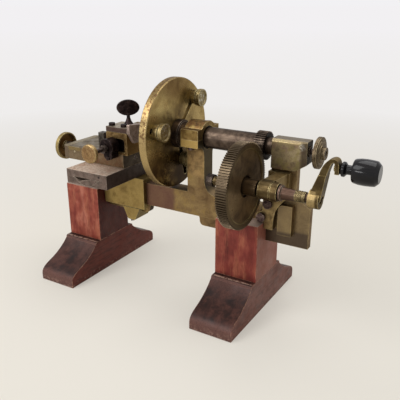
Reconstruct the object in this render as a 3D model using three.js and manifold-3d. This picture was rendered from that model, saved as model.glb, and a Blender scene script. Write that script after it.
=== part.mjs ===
// A watchmaker's hand-cranked mandrel lathe on two wooden feet.
// Millimetres, +Z up. X runs along the mandrel, Y from the operator (negative) to the back,
// and the drawing origin lies on the floor, midway between the feet, under the mandrel.
import * as THREE from "three";
import { mergeVertices } from "three/addons/utils/BufferGeometryUtils.js";
import Module from "manifold-3d";

const wasm = await Module();
wasm.setup();

// Fits shared by every piece
const runFit = 0.3; // gap round a turned or sliding fit
const seatFit = 0.1; // gap round a pressed or screwed seat
const slideGap = 0.2; // between sliding faces
const overrun = 2; // how far a cutting solid runs past the face that it cuts
const fineSides = 48; // facets of a large round
const roundSides = 32; // facets of a middling round
const smallSides = 20; // facets of a small round
const slotWidth = 1.2; // screwdriver slots
const slotDepth = 1;
const screwSlotAngle = 35; // degrees, the way that a screw's slot points
const screwShankAngle = 5; // degrees from the facets of a screw's head to those of its shank

// Places along the mandrel that the others are measured from
const saddleX = -79; // left end of the saddle
const uprightX = 36.5; // left face of the frame's upright
const neckX = 133; // left edge of the frame's neck

// Wooden feet
const footWidth = 49;
const footSaddleGap = 2.1; // from the left post to the saddle
const footNeckGap = 2.9; // from the right post to the neck
const leftFootX = saddleX - footSaddleGap - footWidth / 2;
const rightFootX = neckX - footNeckGap - footWidth / 2;
const footLength = 163;
const footSetback = 2.2; // the feet stand this far behind the mandrel axis
const footLedgeHeight = 41.5;
const footLedgeLength = 67; // the flat that carries the post
const footLedgeRound = 3;
const toeSlopeReach = 70; // where the slope of the toe turns into its round nose
const toeSlopeHeight = 18.5;
const toeSlopeShares = [[0.25, 0.45], [0.61, 0.8]]; // bends of the slope, along it and down it
const toeNoseShares = [[0.5, 0.2], [1, 0.5]];
const toeTipHeight = 8;
const postDepth = 55;
const footScrewRadius = 3;
const footScrewHeadRadius = 6;
const footScrewHeadHeight = 3.5;
const footScrewRecess = 4;
const footScrewTopGap = 7; // below the frame's plate

// Brass frame: a thick bed with an upright, and a thin plate let into the posts
const bedHalfDepth = 9;
const bedTopHeight = 122;
const bedDepth = 26.5;
const bedBottomHeight = bedTopHeight - bedDepth;
const plateHalfDepth = 4;
const plateDepth = 39; // below the bed's top
const plateBottomHeight = bedTopHeight - plateDepth;
const postTopDrop = 16.6; // below the bed's top
const leftPostRise = 2.8; // above the right post
const postTopHeight = bedTopHeight - postTopDrop;
const tangLength = 45; // how far the plate reaches into the left post
const archSaddleGap = 8.5; // from the saddle to the arch in the plate's lower edge
const archLeftLength = 15;
const archUprightInset = 6.5; // from the upright's left face to the end of the arch
const archRightX = uprightX + archUprightInset;
const archRightLength = 12;
const uprightLength = 21;
const uprightFlareHeight = 19;
const uprightFlareLength = 16;
const headCoveHeight = 12;
const plateShoulderStep = 4; // above the bed
const plateShoulderHeight = bedTopHeight + plateShoulderStep;
const plateShoulderRise = 6;
const plateShoulderLength = 9.5;
const neckLength = 27.3;
const plateTailLength = 16; // beyond the neck
const plateEndX = neckX + neckLength + plateTailLength;
const panelInset = 12; // from the neck's left edge
const panelX = neckX + panelInset;
const panelLength = 15;
const panelTopRise = 6; // above the bed
const panelTopHeight = bedTopHeight + panelTopRise;
const panelCornerRadius = 6;
const panelRise = 7;
const postBoltRadius = 3;
const postBoltHeadRadius = 5.5;
const postBoltHeadHeight = 3;
const postBoltReach = 16; // blind end, in front of the plate
const postBoltShare = 0.6; // of the way from the plate's lower edge to the post's top
const postBoltHeight = plateBottomHeight + postBoltShare * (postTopHeight - plateBottomHeight);

// Front bearing
const earHalfDepth = 22;
const earTopRise = 11; // above the mandrel axis
const earBottomDrop = 8;
const capRadius = 17.5;
const bushRadius = 12.5;
const bushSetback = 0.5;
const capScrewRadius = 1.8;
const capScrewHeadRadius = 3.4;
const capScrewHeadHeight = 2.2;
const capScrewInset = 4; // from the end of the ear
const capScrewLength = 14;
const capScrewStand = 0.4; // of the front screw's head below the ear

// Rear bearing
const rearBlockSetback = 0.7;
const rearBlockX = neckX + rearBlockSetback;
const rearBlockLength = 36.5;
const rearBlockHalfDepth = 9;
const rearBlockBottomDrop = 19.5;
const rearBlockTopRise = 10.5;
const rearBlockNoseLength = 10.7;
const rearBlockNoseHalfDepth = 7.5;
const rearBlockEdge = 2.5;
const tenonHeight = 5;
const rearBlockUndercut = 7; // rise of its underside towards the end

// Mandrel
const faceplateSetback = 26.7; // from its face to the upright
const faceplateX = uprightX - faceplateSetback;
const faceplateThickness = 9;
const faceplateRadius = 60;
const faceplateBedGap = 2; // over the bed
const axisHeight = bedTopHeight + faceplateBedGap + faceplateRadius;
const faceplateEdge = 0.8;
const faceplateSides = 72;
const faceplateSlotAngle = 47; // degrees from +Y
const faceplateSlotStart = 18;
const faceplateSlotEnd = 50;
const faceplateSlotWidth = 6;
const flangeRadius = 15.5;
const flangeLength = 8;
const flangeNeckRadius = 13.2;
const frontJournalRadius = 9.4;
const tubeRadius = 11.3;
const rearJournalRadius = 5.2;
const mandrelTailGap = 1; // how far the mandrel stands out of the rear block
const noseRadius = 9;

// Wheelwork: an even module, three turns of the mandrel for one of the crank
const gearModule = 0.8;
const wheelTeeth = 105;
const pinionTeeth = 35;
const toothTipShare = 0.62; // of the module, above the pitch line
const toothRootShare = 1.1;
const toothRootWidthShare = 0.56; // of the tooth spacing
const toothTipWidthShare = 0.26;
const gearWidth = 11;
const gearBlockGap = 6.9; // from the gears to the rear block
const gearX = rearBlockX - gearBlockGap - gearWidth;
const crankDrop = 29; // crank axis below the mandrel axis
const wheelRimRadius = 36.5; // inner edge of the rim
const wheelWebInset = 0.8;
const wheelHubRadius = 8.1;
const wheelRecessRadius = 10.8; // of the hollow round the hub
const wheelRecessDepth = 1.5;
const wheelHubLength = 12.2;

// Draw spindle through the mandrel, with its hand knob
const rodRadius = 2.6;
const rodTipLength = 6;
const rodProud = 4;
const knobRadius = 15.5;
const knobGap = 5.5; // from the block to the knob
const knobBackWidth = 1.8;
const knobRimWidth = 4;
const knobRimGroove = 0.7;
const knobStepWidth = 0.9;
const knobBossWidth = 3;
const knobWidth = knobBackWidth + knobRimWidth + 2 * knobStepWidth + knobBossWidth;
const knobRingShares = [0.84, 0.62, 0.4];

// Dogs: clamps that slide in the slots of the faceplate
const dogRadii = [47.5, 42.5, 32];
const dogLength = 14;
const dogWidth = 9;
const dogThickness = 8;
const dogLipLength = 4;
const dogLipDrop = 3.5;
const dogShankRadius = 2;
const dogShankReach = 10; // behind the faceplate
const dogNutRadius = 9.6;
const dogNutWidth = 4.2;
const dogNutBossRadius = 7.6;
const dogNutBossWidth = 5.2;
const dogNutRingRadius = 9;
const dogNutRingWidth = 1.6;
const dogNutGrooveWidth = 1.4;
const dogNutRim = 1.6;
const dogNutDish = 1;

// Crank arbor
const arborRadius = 4;
const arborSleeveLength = 23.5;
const arborNutWidth = 6.8;
const arborNutX = gearX - arborSleeveLength - arborNutWidth;
const arborNutRadius = 6.6;
const arborNutSides = 8;
const arborSleeveRadius = 5;
const arborRingGap = 0.8; // from the bracket's barrel
const arborRingWidth = 2.4;
const arborRingRadius = 7.8;
const arborTaperRadius = 6;
const arborTaperLength = 13;
const collarLength = 9.8;
const collarRadius = 5.4;
const collarGrooveRadius = 4.9;
const collarGrooveWidth = 1.2;
const crankHubGap = 3.4; // from the ringed collar
const crankHubLength = 10;
const crankHubRadius = 8.5;
const arborEndInset = 1;

// Swan-neck crank arm and its handle
const handleThrow = 31.5;
const armReach = 23.9; // from its foot to its outer end
const armWidth = 12;
const armFootSetback = 1; // from the end of the hub
const armFootLength = 10;
const armFootInset = 0.8;
const armEndThickness = 3.6;
const armCrownThickness = 3.2;
const armStepHeight = 24.5;
const armStepLean = 6.8; // how far the arm leans outward up to its step
const armStepTaper = 3.2; // how much narrower it is there
const armNeckDepth = 9.6;
const armCrownRise = 8.6; // above the handle axis
const armEndHalfHeight = 4.6;
const handleLength = 33.4;
const handleRadius = 11.4;
const handleBeadRadius = 6.6;
const handleNeckRadius = 4.2;
const handleBeadLength = 6;
const handleNeckLength = 5.4;
const handleShoulderRadius = 9.8;
const handleEndRadius = 10.7;
const handleSwellShares = [[0.08, 0.45], [0.3, 0.9], [0.55, 1], [0.85, 0.8]];
const handleSpindleInset = 6;
const handleEndRound = 3;
const handleSpindleRadius = 2;
const handleScrewRadius = 3;
const handleScrewHeight = 1.6;

// Bracket that carries the crank arbor
const barrelHubGap = 2.6; // from the wheel's hub
const barrelX = gearX + gearWidth + wheelHubLength + barrelHubGap;
const barrelLength = 18.6;
const barrelRadius = 8.9;
const barrelGrooveX = 11.2; // from the left end of the barrel
const barrelGrooveWidth = 1;
const barrelGrooveDepth = 0.7;
const bracketFootThickness = 8;
const bracketFootRise = 4; // above the thick bed's lower edge
const bracketFootLength = 9.6;
const bracketPostGap = 0.6;
const bracketTopDrop = 2.5; // below the rear block
const bracketFlareReach = 22; // from the neck's left edge
const bracketFlareX = neckX + bracketFlareReach;
const bracketFlareRise = 14; // above the bed
const bracketFlareHeight = bedTopHeight + bracketFlareRise;
const bracketFlareCurve = 6;
const bracketShoulderDrop = 4.2;
const bracketWaistReach = 9.8;
const bracketWaistX = neckX + bracketWaistReach;
const bracketWaistDrop = 1; // below the bed's top
const bracketWaistHeight = bedTopHeight - bracketWaistDrop;
const bracketEarReach = 5.6; // to the left of the neck
const bracketEarX = neckX - bracketEarReach;
const bracketEarDrop = 10.5; // below the bed's top
const bracketEarHeight = bedTopHeight - bracketEarDrop;
const bracketEarRadius = 6.2;
const bracketLeftReach = 4.4;
const bracketLeftX = neckX - bracketLeftReach;
const bracketUpperScrewInset = 1.2;
const bracketUpperScrewX = neckX + bracketUpperScrewInset;
const bracketUpperScrewRise = 5; // above the bed
const bracketUpperScrewHeight = bedTopHeight + bracketUpperScrewRise;
const bracketArmLength = 12;
const bracketArmRootDrop = 10; // below the crank axis
const bracketArmUnderDrop = 6.5; // below the crank axis
const bracketScrewRadius = 2;
const bracketScrewHeadRadius = 4.8;
const bracketScrewHeadHeight = 3;

// Saddle and the clamp beneath the bed
const saddleLength = 58.5;
const saddleHalfDepth = 14;
const saddleBottomRise = 7; // above the plate's lower edge
const saddleBottomHeight = plateBottomHeight + saddleBottomRise;
const saddleRoofThickness = 5;
const keystoneInset = 26.5; // from the saddle's left end
const keystoneX = saddleX + keystoneInset;
const keystoneTopLength = 24;
const keystoneBottomLength = 10;
const keystoneHeight = 15;
const keystoneHalfDepth = 13.3;
const keystoneGap = 1; // between the saddle and the clamp
const clampScrewRadius = 1.2;
const clampScrewHeadRadius = 2;
const clampScrewY = 11.3;
const clampScrewHeadHeight = 2;
const clampScrewReach = 10;

// Iron cross way on the saddle, and the iron table that slides on its dovetail
const tableOverhang = 9.5; // to the left of the saddle
const tableX = saddleX - tableOverhang;
const tableLength = 57.5;
const tableFront = -65;
const tableDepth = 120;
const tableThickness = 16.4;
const tableGap = 0.3; // over the saddle
const grooveInset = 10.5; // to the groove's upper left corner
const grooveTopWidth = 35.5;
const grooveLeftX = tableX + grooveInset;
const grooveRightX = grooveLeftX + grooveTopWidth;
const grooveHeight = 8.5;
const grooveFlank = 12.5; // how far each flank leans in over that height
const wayCrownInset = 23; // where the sloping top of the way begins
const wayCrownX = grooveLeftX + wayCrownInset;
const wayCrownDrop = 4.2;
const wayInset = 0.5; // the way ends this far inside the table
const wayScrewRadius = 2;
const wayScrewHeadRadius = 3.6;
const wayScrewHeadHeight = 2.4;
const wayScrewLength = 9;

// Long slide: hollow below, with a fixed nut inside, driven by the hand wheel
const longSlideOverhang = 33.5; // to the left of the table
const longSlideX = tableX - longSlideOverhang;
const longSlideLength = 90;
const longSlideInset = 31; // behind the table's front
const longSlideFront = tableFront + longSlideInset;
const longSlideDepth = 58;
const longSlideHeight = 15.3;
const longSlideEdge = 2.5;
const endPlateLength = 8; // the plate at the slide's left end
const endPlateJoint = 0.5; // width and depth of the joint line beside it
const cavityWall = 10;
const cavityEndWall = 5;
const cavityRoof = 3.5;
const longNutInset = 54;
const longNutX = longSlideX + longNutInset;
const longNutLength = 14;
const longScrewRadius = 2.5;
const longScrewInset = 22; // behind the slide's front
const longScrewY = longSlideFront + longScrewInset;
const longScrewRise = 7.5; // above the cross slide
const handWheelGap = 14; // from the slide
const handWheelWidth = 5.5;
const handWheelX = longSlideX - handWheelGap - handWheelWidth;
const handWheelRadius = 16.5;
const handWheelDish = 3;
const handWheelRim = 2.2;
const handWheelHubRadius = 5.5;
const handWheelEdge = 1;
const slideStudInset = 32.8;
const slideStudDepth = 35; // behind the slide's front
const slideStudX = longSlideX + slideStudInset;
const slideStudY = longSlideFront + slideStudDepth;
const slideStudWidth = 8.4;
const slideStudHeight = 12.5;

// Bridge block and the top slide on it, driven by the front knob
const bridgeInset = 68; // from the slide's left end
const bridgeX = longSlideX + bridgeInset;
const bridgeLength = 28.5;
const bridgeHeight = 24.6;
const bridgeWall = 2.4;
const bridgeRightWall = 3.6;
const bridgeFloor = 3;
const bridgeRoof = 6.5;
const roofSlotFrontReach = 9.5; // from the nut's middle
const roofSlotBackReach = 13.5;
const bridgeArchRadius = 4;
const bridgeScrewRadius = 1.6;
const bridgeScrewHeadRadius = 3;
const bridgeScrewHeadHeight = 2;
const bridgeScrewInset = 5;
const bridgeScrewLength = 6;
const topSlideThickness = 5.5;
const topSlideDepth = 28;
const topScrewInset = 7.5;
const topScrewX = bridgeX + topScrewInset;
const topScrewRise = 8.3; // above the long slide
const topScrewRadius = 2.4;
const topNutLeftReach = 4.2; // from the screw
const topNutRightReach = 13;
const topNutRound = 4.2;
const topNutDepth = 13;
const topNutInset = 13; // behind the slide's front
const topNutY = longSlideFront + topNutInset;
const topStemWidth = 5;
const topStemDepth = 6;
const bearingDepth = 12;
const bearingRadius = 9.2;
const bearingShift = 1; // its middle lies to the right of the screw
const bearingLift = 1.6; // and above it
const bearingFootRadius = 5.6;
const bearingFootShift = 3;
const bearingFootRise = 1.1; // above the long slide's top
const bearingScrewRadius = 1.2;
const bearingScrewDrop = 2.4; // below the long slide's top
const bearingCollarLength = 5;
const bearingScrewReach = 6;
const bearingScrewHeadHeight = 1.2;
const frontKnobGap = 23; // from the bearing
const frontKnobWidth = 4.5;
const frontKnobY = longSlideFront - bearingDepth - frontKnobGap - frontKnobWidth;
const frontKnobRadius = 10.3;
const frontKnobBossRadius = 4.5;
const frontKnobBossWidth = 3.5;
const frontKnobFace = 1.5; // closed in front of the screw

// Cutter clamp on the top slide
const jawThickness = 4;
const jawTopRise = 4.6; // above the top slide
const jawTopSetback = 1;
const jawTopFall = 3.4; // towards the back
const jawBottomDrop = 11.6; // below the bridge's top
const jawBottomInset = 8;
const clampStudInset = 3.5;
const clampStudSpacing = 16.7;
const clampStudLength = 4.4;
const clampStudDepth = 6.5; // behind the slide's front
const clampStudY = longSlideFront + clampStudDepth;
const clampStudRadius = 1.8;
const clampStudHeadRadius = 3.6;
const clampStudHeadHeight = 3;
const thumbDepth = 22.5;
const thumbInset = 14.4;
const thumbY = longSlideFront + thumbDepth;
const thumbX = bridgeX + thumbInset;
const thumbCollarRadius = 5.4;
const thumbCollarMidRadius = 3.2;
const thumbCollarTopRadius = 2;
const thumbCollarHeight = 7;
const thumbShankRadius = 2;
const thumbShankRise = 11.5;
const thumbHeadWidth = 25.5;
const thumbHeadHeight = 17.5;
const thumbHeadThickness = 3.4;
const thumbHeadAngle = 45; // degrees about Z
const thumbHeadSink = 2;

// Finishes
const finishes = {
  brass: new THREE.MeshStandardMaterial({ color: 0x8c7a45, roughness: 0.42, metalness: 0.9 }),
  brightBrass: new THREE.MeshStandardMaterial({ color: 0xb39a55, roughness: 0.35, metalness: 0.9 }),
  steel: new THREE.MeshStandardMaterial({ color: 0x5d5650, roughness: 0.45, metalness: 0.85 }),
  iron: new THREE.MeshStandardMaterial({ color: 0x7c706a, roughness: 0.6, metalness: 0.6 }),
  blackSteel: new THREE.MeshStandardMaterial({ color: 0x26211f, roughness: 0.5, metalness: 0.7 }),
  mahogany: new THREE.MeshStandardMaterial({ color: 0x6e3024, roughness: 0.5, metalness: 0 }),
  ebony: new THREE.MeshStandardMaterial({ color: 0x141213, roughness: 0.2, metalness: 0 }),
};

// Solids and joins

// Turns a closed geometry into a solid, with its faces pointing out.
function solidOf(geometry) {
  const bare = geometry.clone();
  bare.deleteAttribute("normal");
  bare.deleteAttribute("uv");
  const merged = mergeVertices(bare);
  const place = merged.attributes.position;
  const corners = Array.from(merged.index.array);
  const faces = [];
  let volume = 0;
  const [a, b, c] = [new THREE.Vector3(), new THREE.Vector3(), new THREE.Vector3()];
  for (let i = 0; i < corners.length; i += 3) {
    const [p, q, r] = corners.slice(i, i + 3);
    if (p === q || q === r || p === r) continue;
    a.fromBufferAttribute(place, p);
    b.fromBufferAttribute(place, q);
    c.fromBufferAttribute(place, r);
    volume += a.dot(b.cross(c));
    faces.push([p, q, r]);
  }
  const outward = volume > 0 ? faces : faces.map(([p, q, r]) => [p, r, q]);
  const triVerts = new Uint32Array(outward.flat());
  const vertProperties = new Float32Array(place.array);
  return new wasm.Manifold(new wasm.Mesh({ numProp: 3, vertProperties, triVerts }));
}

function geometryOf(solid) {
  const mesh = solid.getMesh();
  const geometry = new THREE.BufferGeometry();
  geometry.setAttribute("position", new THREE.BufferAttribute(mesh.vertProperties, mesh.numProp));
  geometry.setIndex(new THREE.BufferAttribute(mesh.triVerts, 1));
  geometry.computeVertexNormals();
  return geometry;
}

function join(first, ...others) {
  return others.reduce((whole, piece) => whole.add(piece), first);
}

function cut(first, ...others) {
  return others.reduce((whole, piece) => whole.subtract(piece), first);
}

// A block between two corners.
function block(x0, x1, y0, y1, z0, z1) {
  const geometry = new THREE.BoxGeometry(x1 - x0, y1 - y0, z1 - z0);
  geometry.translate((x0 + x1) / 2, (y0 + y1) / 2, (z0 + z1) / 2);
  return solidOf(geometry);
}

function shapeOf(outline) {
  if (outline instanceof THREE.Shape) return outline;
  return new THREE.Shape(outline.map(([u, v]) => new THREE.Vector2(u, v)));
}

// An outline drawn in X and Z, with its thickness along Y.
function plateAlongY(outline, y0, y1, steps = 8) {
  const geometry = new THREE.ExtrudeGeometry(shapeOf(outline), {
    depth: y1 - y0, bevelEnabled: false, curveSegments: steps,
  });
  geometry.rotateX(Math.PI / 2);
  geometry.translate(0, y1, 0);
  return solidOf(geometry);
}

// An outline drawn in Y and Z, with its length along X.
function plateAlongX(outline, x0, x1, steps = 8) {
  const geometry = new THREE.ExtrudeGeometry(shapeOf(outline), {
    depth: x1 - x0, bevelEnabled: false, curveSegments: steps,
  });
  const turn = new THREE.Matrix4().makeBasis(
    new THREE.Vector3(0, 1, 0), new THREE.Vector3(0, 0, 1), new THREE.Vector3(1, 0, 0),
  );
  geometry.applyMatrix4(turn);
  geometry.translate(x0, 0, 0);
  return solidOf(geometry);
}

// An outline drawn in X and Y, with its height along Z.
function plateAlongZ(outline, z0, z1, steps = 8) {
  const geometry = new THREE.ExtrudeGeometry(shapeOf(outline), {
    depth: z1 - z0, bevelEnabled: false, curveSegments: steps,
  });
  geometry.translate(0, 0, z0);
  return solidOf(geometry);
}

// A turned piece. Its profile lists [place along the axis, radius] and closes on the axis or on itself.
function turned(profile, axis = "x", sides = roundSides) {
  const points = profile.map(([along, radius]) => new THREE.Vector2(radius, along));
  const closed = profile[0][1] > 0 ? [...points, points[0].clone()] : points;
  const geometry = new THREE.LatheGeometry(closed, sides);
  if (axis === "x") geometry.rotateZ(-Math.PI / 2);
  if (axis === "z") geometry.rotateX(Math.PI / 2);
  return solidOf(geometry);
}

function rod(x0, x1, radius, axis = "x", sides = roundSides) {
  return turned([[x0, 0], [x0, radius], [x1, radius], [x1, 0]], axis, sides);
}

// A ring with a bore.
function ring(x0, x1, radius, bore, axis = "x", sides = roundSides) {
  return turned([[x0, bore], [x0, radius], [x1, radius], [x1, bore]], axis, sides);
}

const part = new THREE.Group();

function addTo(group, name, solid, finish) {
  const mesh = new THREE.Mesh(geometryOf(solid), finish);
  mesh.name = name;
  group.add(mesh);
  return mesh;
}

// A slotted screw along +Z with the underside of its head at height zero.
function slottedScrew(radius, length, headRadius, headHeight, countersunk = false) {
  const shank = rod(-length, 0, radius, "z", smallSides).rotate([0, 0, screwShankAngle]);
  const head = countersunk
    ? turned([[-headHeight, 0], [-headHeight, radius], [0, headRadius], [0, 0]], "z", smallSides)
    : rod(0, headHeight, headRadius, "z", smallSides);
  const top = countersunk ? 0 : headHeight;
  const slot = block(
    -headRadius - overrun, headRadius + overrun, -slotWidth / 2, slotWidth / 2,
    top - slotDepth, top + overrun,
  ).rotate([0, 0, screwSlotAngle]);
  return cut(join(shank, head), slot);
}

// The clear hole for such a screw.
function screwHole(radius, length, headRadius, headHeight, countersunk = false) {
  const shank = rod(-length - runFit, overrun, radius + runFit, "z", smallSides);
  if (!countersunk) return shank;
  const sink = turned([
    [-headHeight - runFit, 0], [-headHeight - runFit, radius + runFit],
    [runFit, headRadius + runFit + runFit], [overrun, headRadius + runFit + runFit], [overrun, 0],
  ], "z", smallSides);
  return join(shank, sink);
}

// Wooden feet

// The base from the side, in Y and Z: a ledge for the post with a hollow slope and a round nose at each end
function toeOutline() {
  const at = (reach, height) => new THREE.Vector2(reach, height);
  const bend = (from, to, shares) => new THREE.CubicBezierCurve(from, ...shares.map(
    ([along, down]) => at(from.x + along * (to.x - from.x), from.y + down * (to.y - from.y)),
  ), to);
  const half = footLength / 2;
  const ledge = at(footLedgeLength / 2, footLedgeHeight);
  const slopeTop = at(ledge.x + footLedgeRound, footLedgeHeight - footLedgeRound);
  const slopeEnd = at(toeSlopeReach, toeSlopeHeight);
  const edge = new THREE.QuadraticBezierCurve(ledge, at(slopeTop.x, ledge.y), slopeTop);
  const slope = bend(slopeTop, slopeEnd, toeSlopeShares);
  const nose = bend(slopeEnd, at(half, toeTipHeight), toeNoseShares);
  const profile = [
    ...edge.getPoints(4), ...slope.getPoints(5).slice(1), ...nose.getPoints(5).slice(1), at(half, 0),
  ];
  const back = profile.map(({ x, y }) => [footSetback + x, y]);
  const front = profile.map(({ x, y }) => [footSetback - x, y]).reverse();
  return [...front, ...back];
}

const footScrewTop = plateBottomHeight - footScrewTopGap;

function addFoot(x, name, postTop) {
  const foot = new THREE.Group();
  foot.position.x = x;
  const halfWidth = footWidth / 2;
  const headSpace = footScrewRecess + footScrewHeadHeight;

  const headHole = rod(-overrun, headSpace + runFit, footScrewHeadRadius + runFit, "z", smallSides);
  const shaftHole = rod(0, footScrewTop + runFit, footScrewRadius + runFit, "z", smallSides);
  const base = plateAlongX(toeOutline(), -halfWidth, halfWidth);
  addTo(foot, `${name}_foot_base`, cut(base, headHole, shaftHole), finishes.mahogany);

  const postFront = footSetback - postDepth / 2;
  const postBack = footSetback + postDepth / 2;
  const boltHole = rod(-postBoltReach - runFit, postDepth, postBoltRadius + runFit, "y", smallSides)
    .translate([0, 0, postBoltHeight]);
  const slot = block(
    -halfWidth - overrun, halfWidth + overrun, -plateHalfDepth - runFit, plateHalfDepth + runFit,
    plateBottomHeight, postTop + overrun,
  );
  const post = block(-halfWidth, halfWidth, postFront, postBack, footLedgeHeight, postTop);
  addTo(foot, `${name}_foot_post`, cut(post, slot, boltHole, shaftHole), finishes.mahogany);

  const footScrew = addTo(foot, `${name}_foot_screw`, slottedScrew(
    footScrewRadius, footScrewTop - headSpace, footScrewHeadRadius, footScrewHeadHeight,
  ), finishes.steel);
  footScrew.rotation.x = Math.PI;
  footScrew.position.z = headSpace;

  const postBolt = addTo(foot, `${name}_post_bolt`, slottedScrew(
    postBoltRadius, postBack + postBoltReach, postBoltHeadRadius, postBoltHeadHeight,
  ), finishes.steel);
  postBolt.rotation.x = -Math.PI / 2;
  postBolt.position.set(0, postBack, postBoltHeight);
  part.add(foot);
}

addFoot(leftFootX, "left", postTopHeight + leftPostRise);
addFoot(rightFootX, "right", postTopHeight);

// Frame

const leftPostEndX = leftFootX + footWidth / 2;
const rightPostEndX = rightFootX + footWidth / 2;
const saddleEndX = saddleX + saddleLength;
const archLeftX = saddleEndX + archSaddleGap;
const uprightEndX = uprightX + uprightLength;
const headBottomHeight = axisHeight - earBottomDrop;
const rearBlockBottom = axisHeight - rearBlockBottomDrop;
const rearBlockEndX = rearBlockX + rearBlockLength;
const neckEndX = neckX + neckLength;
const bedRightX = uprightEndX + uprightFlareLength;

function platesOutline() {
  const shape = new THREE.Shape();
  const middle = (plateBottomHeight + bedBottomHeight) / 2;
  const leftStart = archLeftX - archLeftLength;
  const rightEnd = archRightX + archRightLength;
  shape.moveTo(leftPostEndX - tangLength, plateBottomHeight);
  shape.lineTo(leftStart, plateBottomHeight);
  shape.quadraticCurveTo(
    leftStart + archLeftLength / 2, plateBottomHeight, leftStart + archLeftLength / 2, middle,
  );
  shape.quadraticCurveTo(leftStart + archLeftLength / 2, bedBottomHeight, archLeftX, bedBottomHeight);
  shape.lineTo(archRightX, bedBottomHeight);
  shape.quadraticCurveTo(
    archRightX + archRightLength / 2, bedBottomHeight, archRightX + archRightLength / 2, middle,
  );
  shape.quadraticCurveTo(
    archRightX + archRightLength / 2, plateBottomHeight, rightEnd, plateBottomHeight,
  );
  shape.lineTo(plateEndX, plateBottomHeight);
  shape.lineTo(plateEndX, plateShoulderHeight);
  shape.lineTo(plateEndX - plateShoulderLength, plateShoulderHeight + plateShoulderRise);
  shape.lineTo(neckEndX, plateShoulderHeight + plateShoulderRise);
  shape.lineTo(neckEndX, rearBlockBottom);
  shape.lineTo(neckX, rearBlockBottom);
  shape.lineTo(neckX, bedTopHeight);
  shape.lineTo(leftPostEndX - tangLength, bedTopHeight);
  return shape;
}

function uprightOutline() {
  const shape = new THREE.Shape();
  shape.moveTo(uprightX, bedTopHeight - overrun);
  shape.lineTo(bedRightX, bedTopHeight - overrun);
  shape.lineTo(bedRightX, bedTopHeight);
  shape.quadraticCurveTo(uprightEndX, bedTopHeight, uprightEndX, bedTopHeight + uprightFlareHeight);
  shape.lineTo(uprightEndX, headBottomHeight);
  shape.lineTo(uprightX, headBottomHeight);
  return shape;
}

function headOutline() {
  const shape = new THREE.Shape();
  const coveBottom = headBottomHeight - headCoveHeight;
  shape.moveTo(-bedHalfDepth, coveBottom);
  shape.lineTo(bedHalfDepth, coveBottom);
  shape.quadraticCurveTo(bedHalfDepth, headBottomHeight, earHalfDepth, headBottomHeight);
  shape.lineTo(earHalfDepth, axisHeight);
  shape.lineTo(-earHalfDepth, axisHeight);
  shape.lineTo(-earHalfDepth, headBottomHeight);
  shape.quadraticCurveTo(-bedHalfDepth, headBottomHeight, -bedHalfDepth, coveBottom);
  return shape;
}

function panelOutline() {
  const shape = new THREE.Shape();
  const right = panelX + panelLength;
  shape.moveTo(panelX, bedBottomHeight);
  shape.lineTo(right, bedBottomHeight);
  shape.lineTo(right, panelTopHeight);
  shape.lineTo(panelX + panelCornerRadius, panelTopHeight);
  shape.quadraticCurveTo(panelX, panelTopHeight, panelX, panelTopHeight - panelCornerRadius);
  return shape;
}

const bushSeat = rod(
  uprightX - overrun, uprightEndX + overrun, bushRadius + seatFit,
).translate([0, 0, axisHeight]);
const uprightMidX = (uprightX + uprightEndX) / 2;
const capScrewSeat = headBottomHeight - capScrewStand;

const capScrewReach = earHalfDepth - capScrewInset;
const earTop = axisHeight + earTopRise;

// The front screw goes in from below and the back one from above.
function capScrewHoles() {
  const front = join(
    rod(-capScrewHeadHeight - headCoveHeight, 0, capScrewHeadRadius + runFit, "z", smallSides),
    rod(-overrun, capScrewLength + runFit, capScrewRadius + runFit, "z", smallSides),
  ).translate([uprightMidX, -capScrewReach, capScrewSeat]);
  const back = rod(-capScrewLength - runFit, overrun, capScrewRadius + runFit, "z", smallSides)
    .translate([uprightMidX, capScrewReach, earTop]);
  return join(front, back);
}

const plateBoltHole = rod(
  -plateHalfDepth - overrun, plateHalfDepth + overrun, postBoltRadius + runFit, "y", smallSides,
);

const bracketScrewPlaces = [
  ["upper", bracketUpperScrewX, bracketUpperScrewHeight],
  ["lower", bracketEarX, bracketEarHeight],
];
const bracketFront = -plateHalfDepth - bracketFootThickness;
const bracketScrewLength = bracketFootThickness + plateHalfDepth;

function bracketScrewHole([, x, z]) {
  return rod(
    bracketFront - overrun, runFit, bracketScrewRadius + runFit, "y", smallSides,
  ).translate([x, 0, z]);
}

const tenonInset = plateHalfDepth + overrun;
const tenonX = [rearBlockX + tenonInset, neckEndX - tenonInset];
const frame = cut(
  join(
    plateAlongY(platesOutline(), -plateHalfDepth, plateHalfDepth, 6),
    block(leftPostEndX + runFit, bedRightX, -bedHalfDepth, bedHalfDepth, bedBottomHeight, bedTopHeight),
    plateAlongY(uprightOutline(), -bedHalfDepth, bedHalfDepth, 8),
    plateAlongX(headOutline(), uprightX, uprightEndX, 8),
    plateAlongY(panelOutline(), -plateHalfDepth - panelRise, 0, 6),
    block(
      ...tenonX, -plateHalfDepth, plateHalfDepth, rearBlockBottom - overrun, rearBlockBottom + tenonHeight,
    ),
  ),
  bushSeat, capScrewHoles(),
  plateBoltHole.translate([leftFootX, 0, postBoltHeight]),
  plateBoltHole.translate([rightFootX, 0, postBoltHeight]),
  ...bracketScrewPlaces.map(bracketScrewHole),
);
addTo(part, "bed_frame", frame, finishes.brass);

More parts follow.
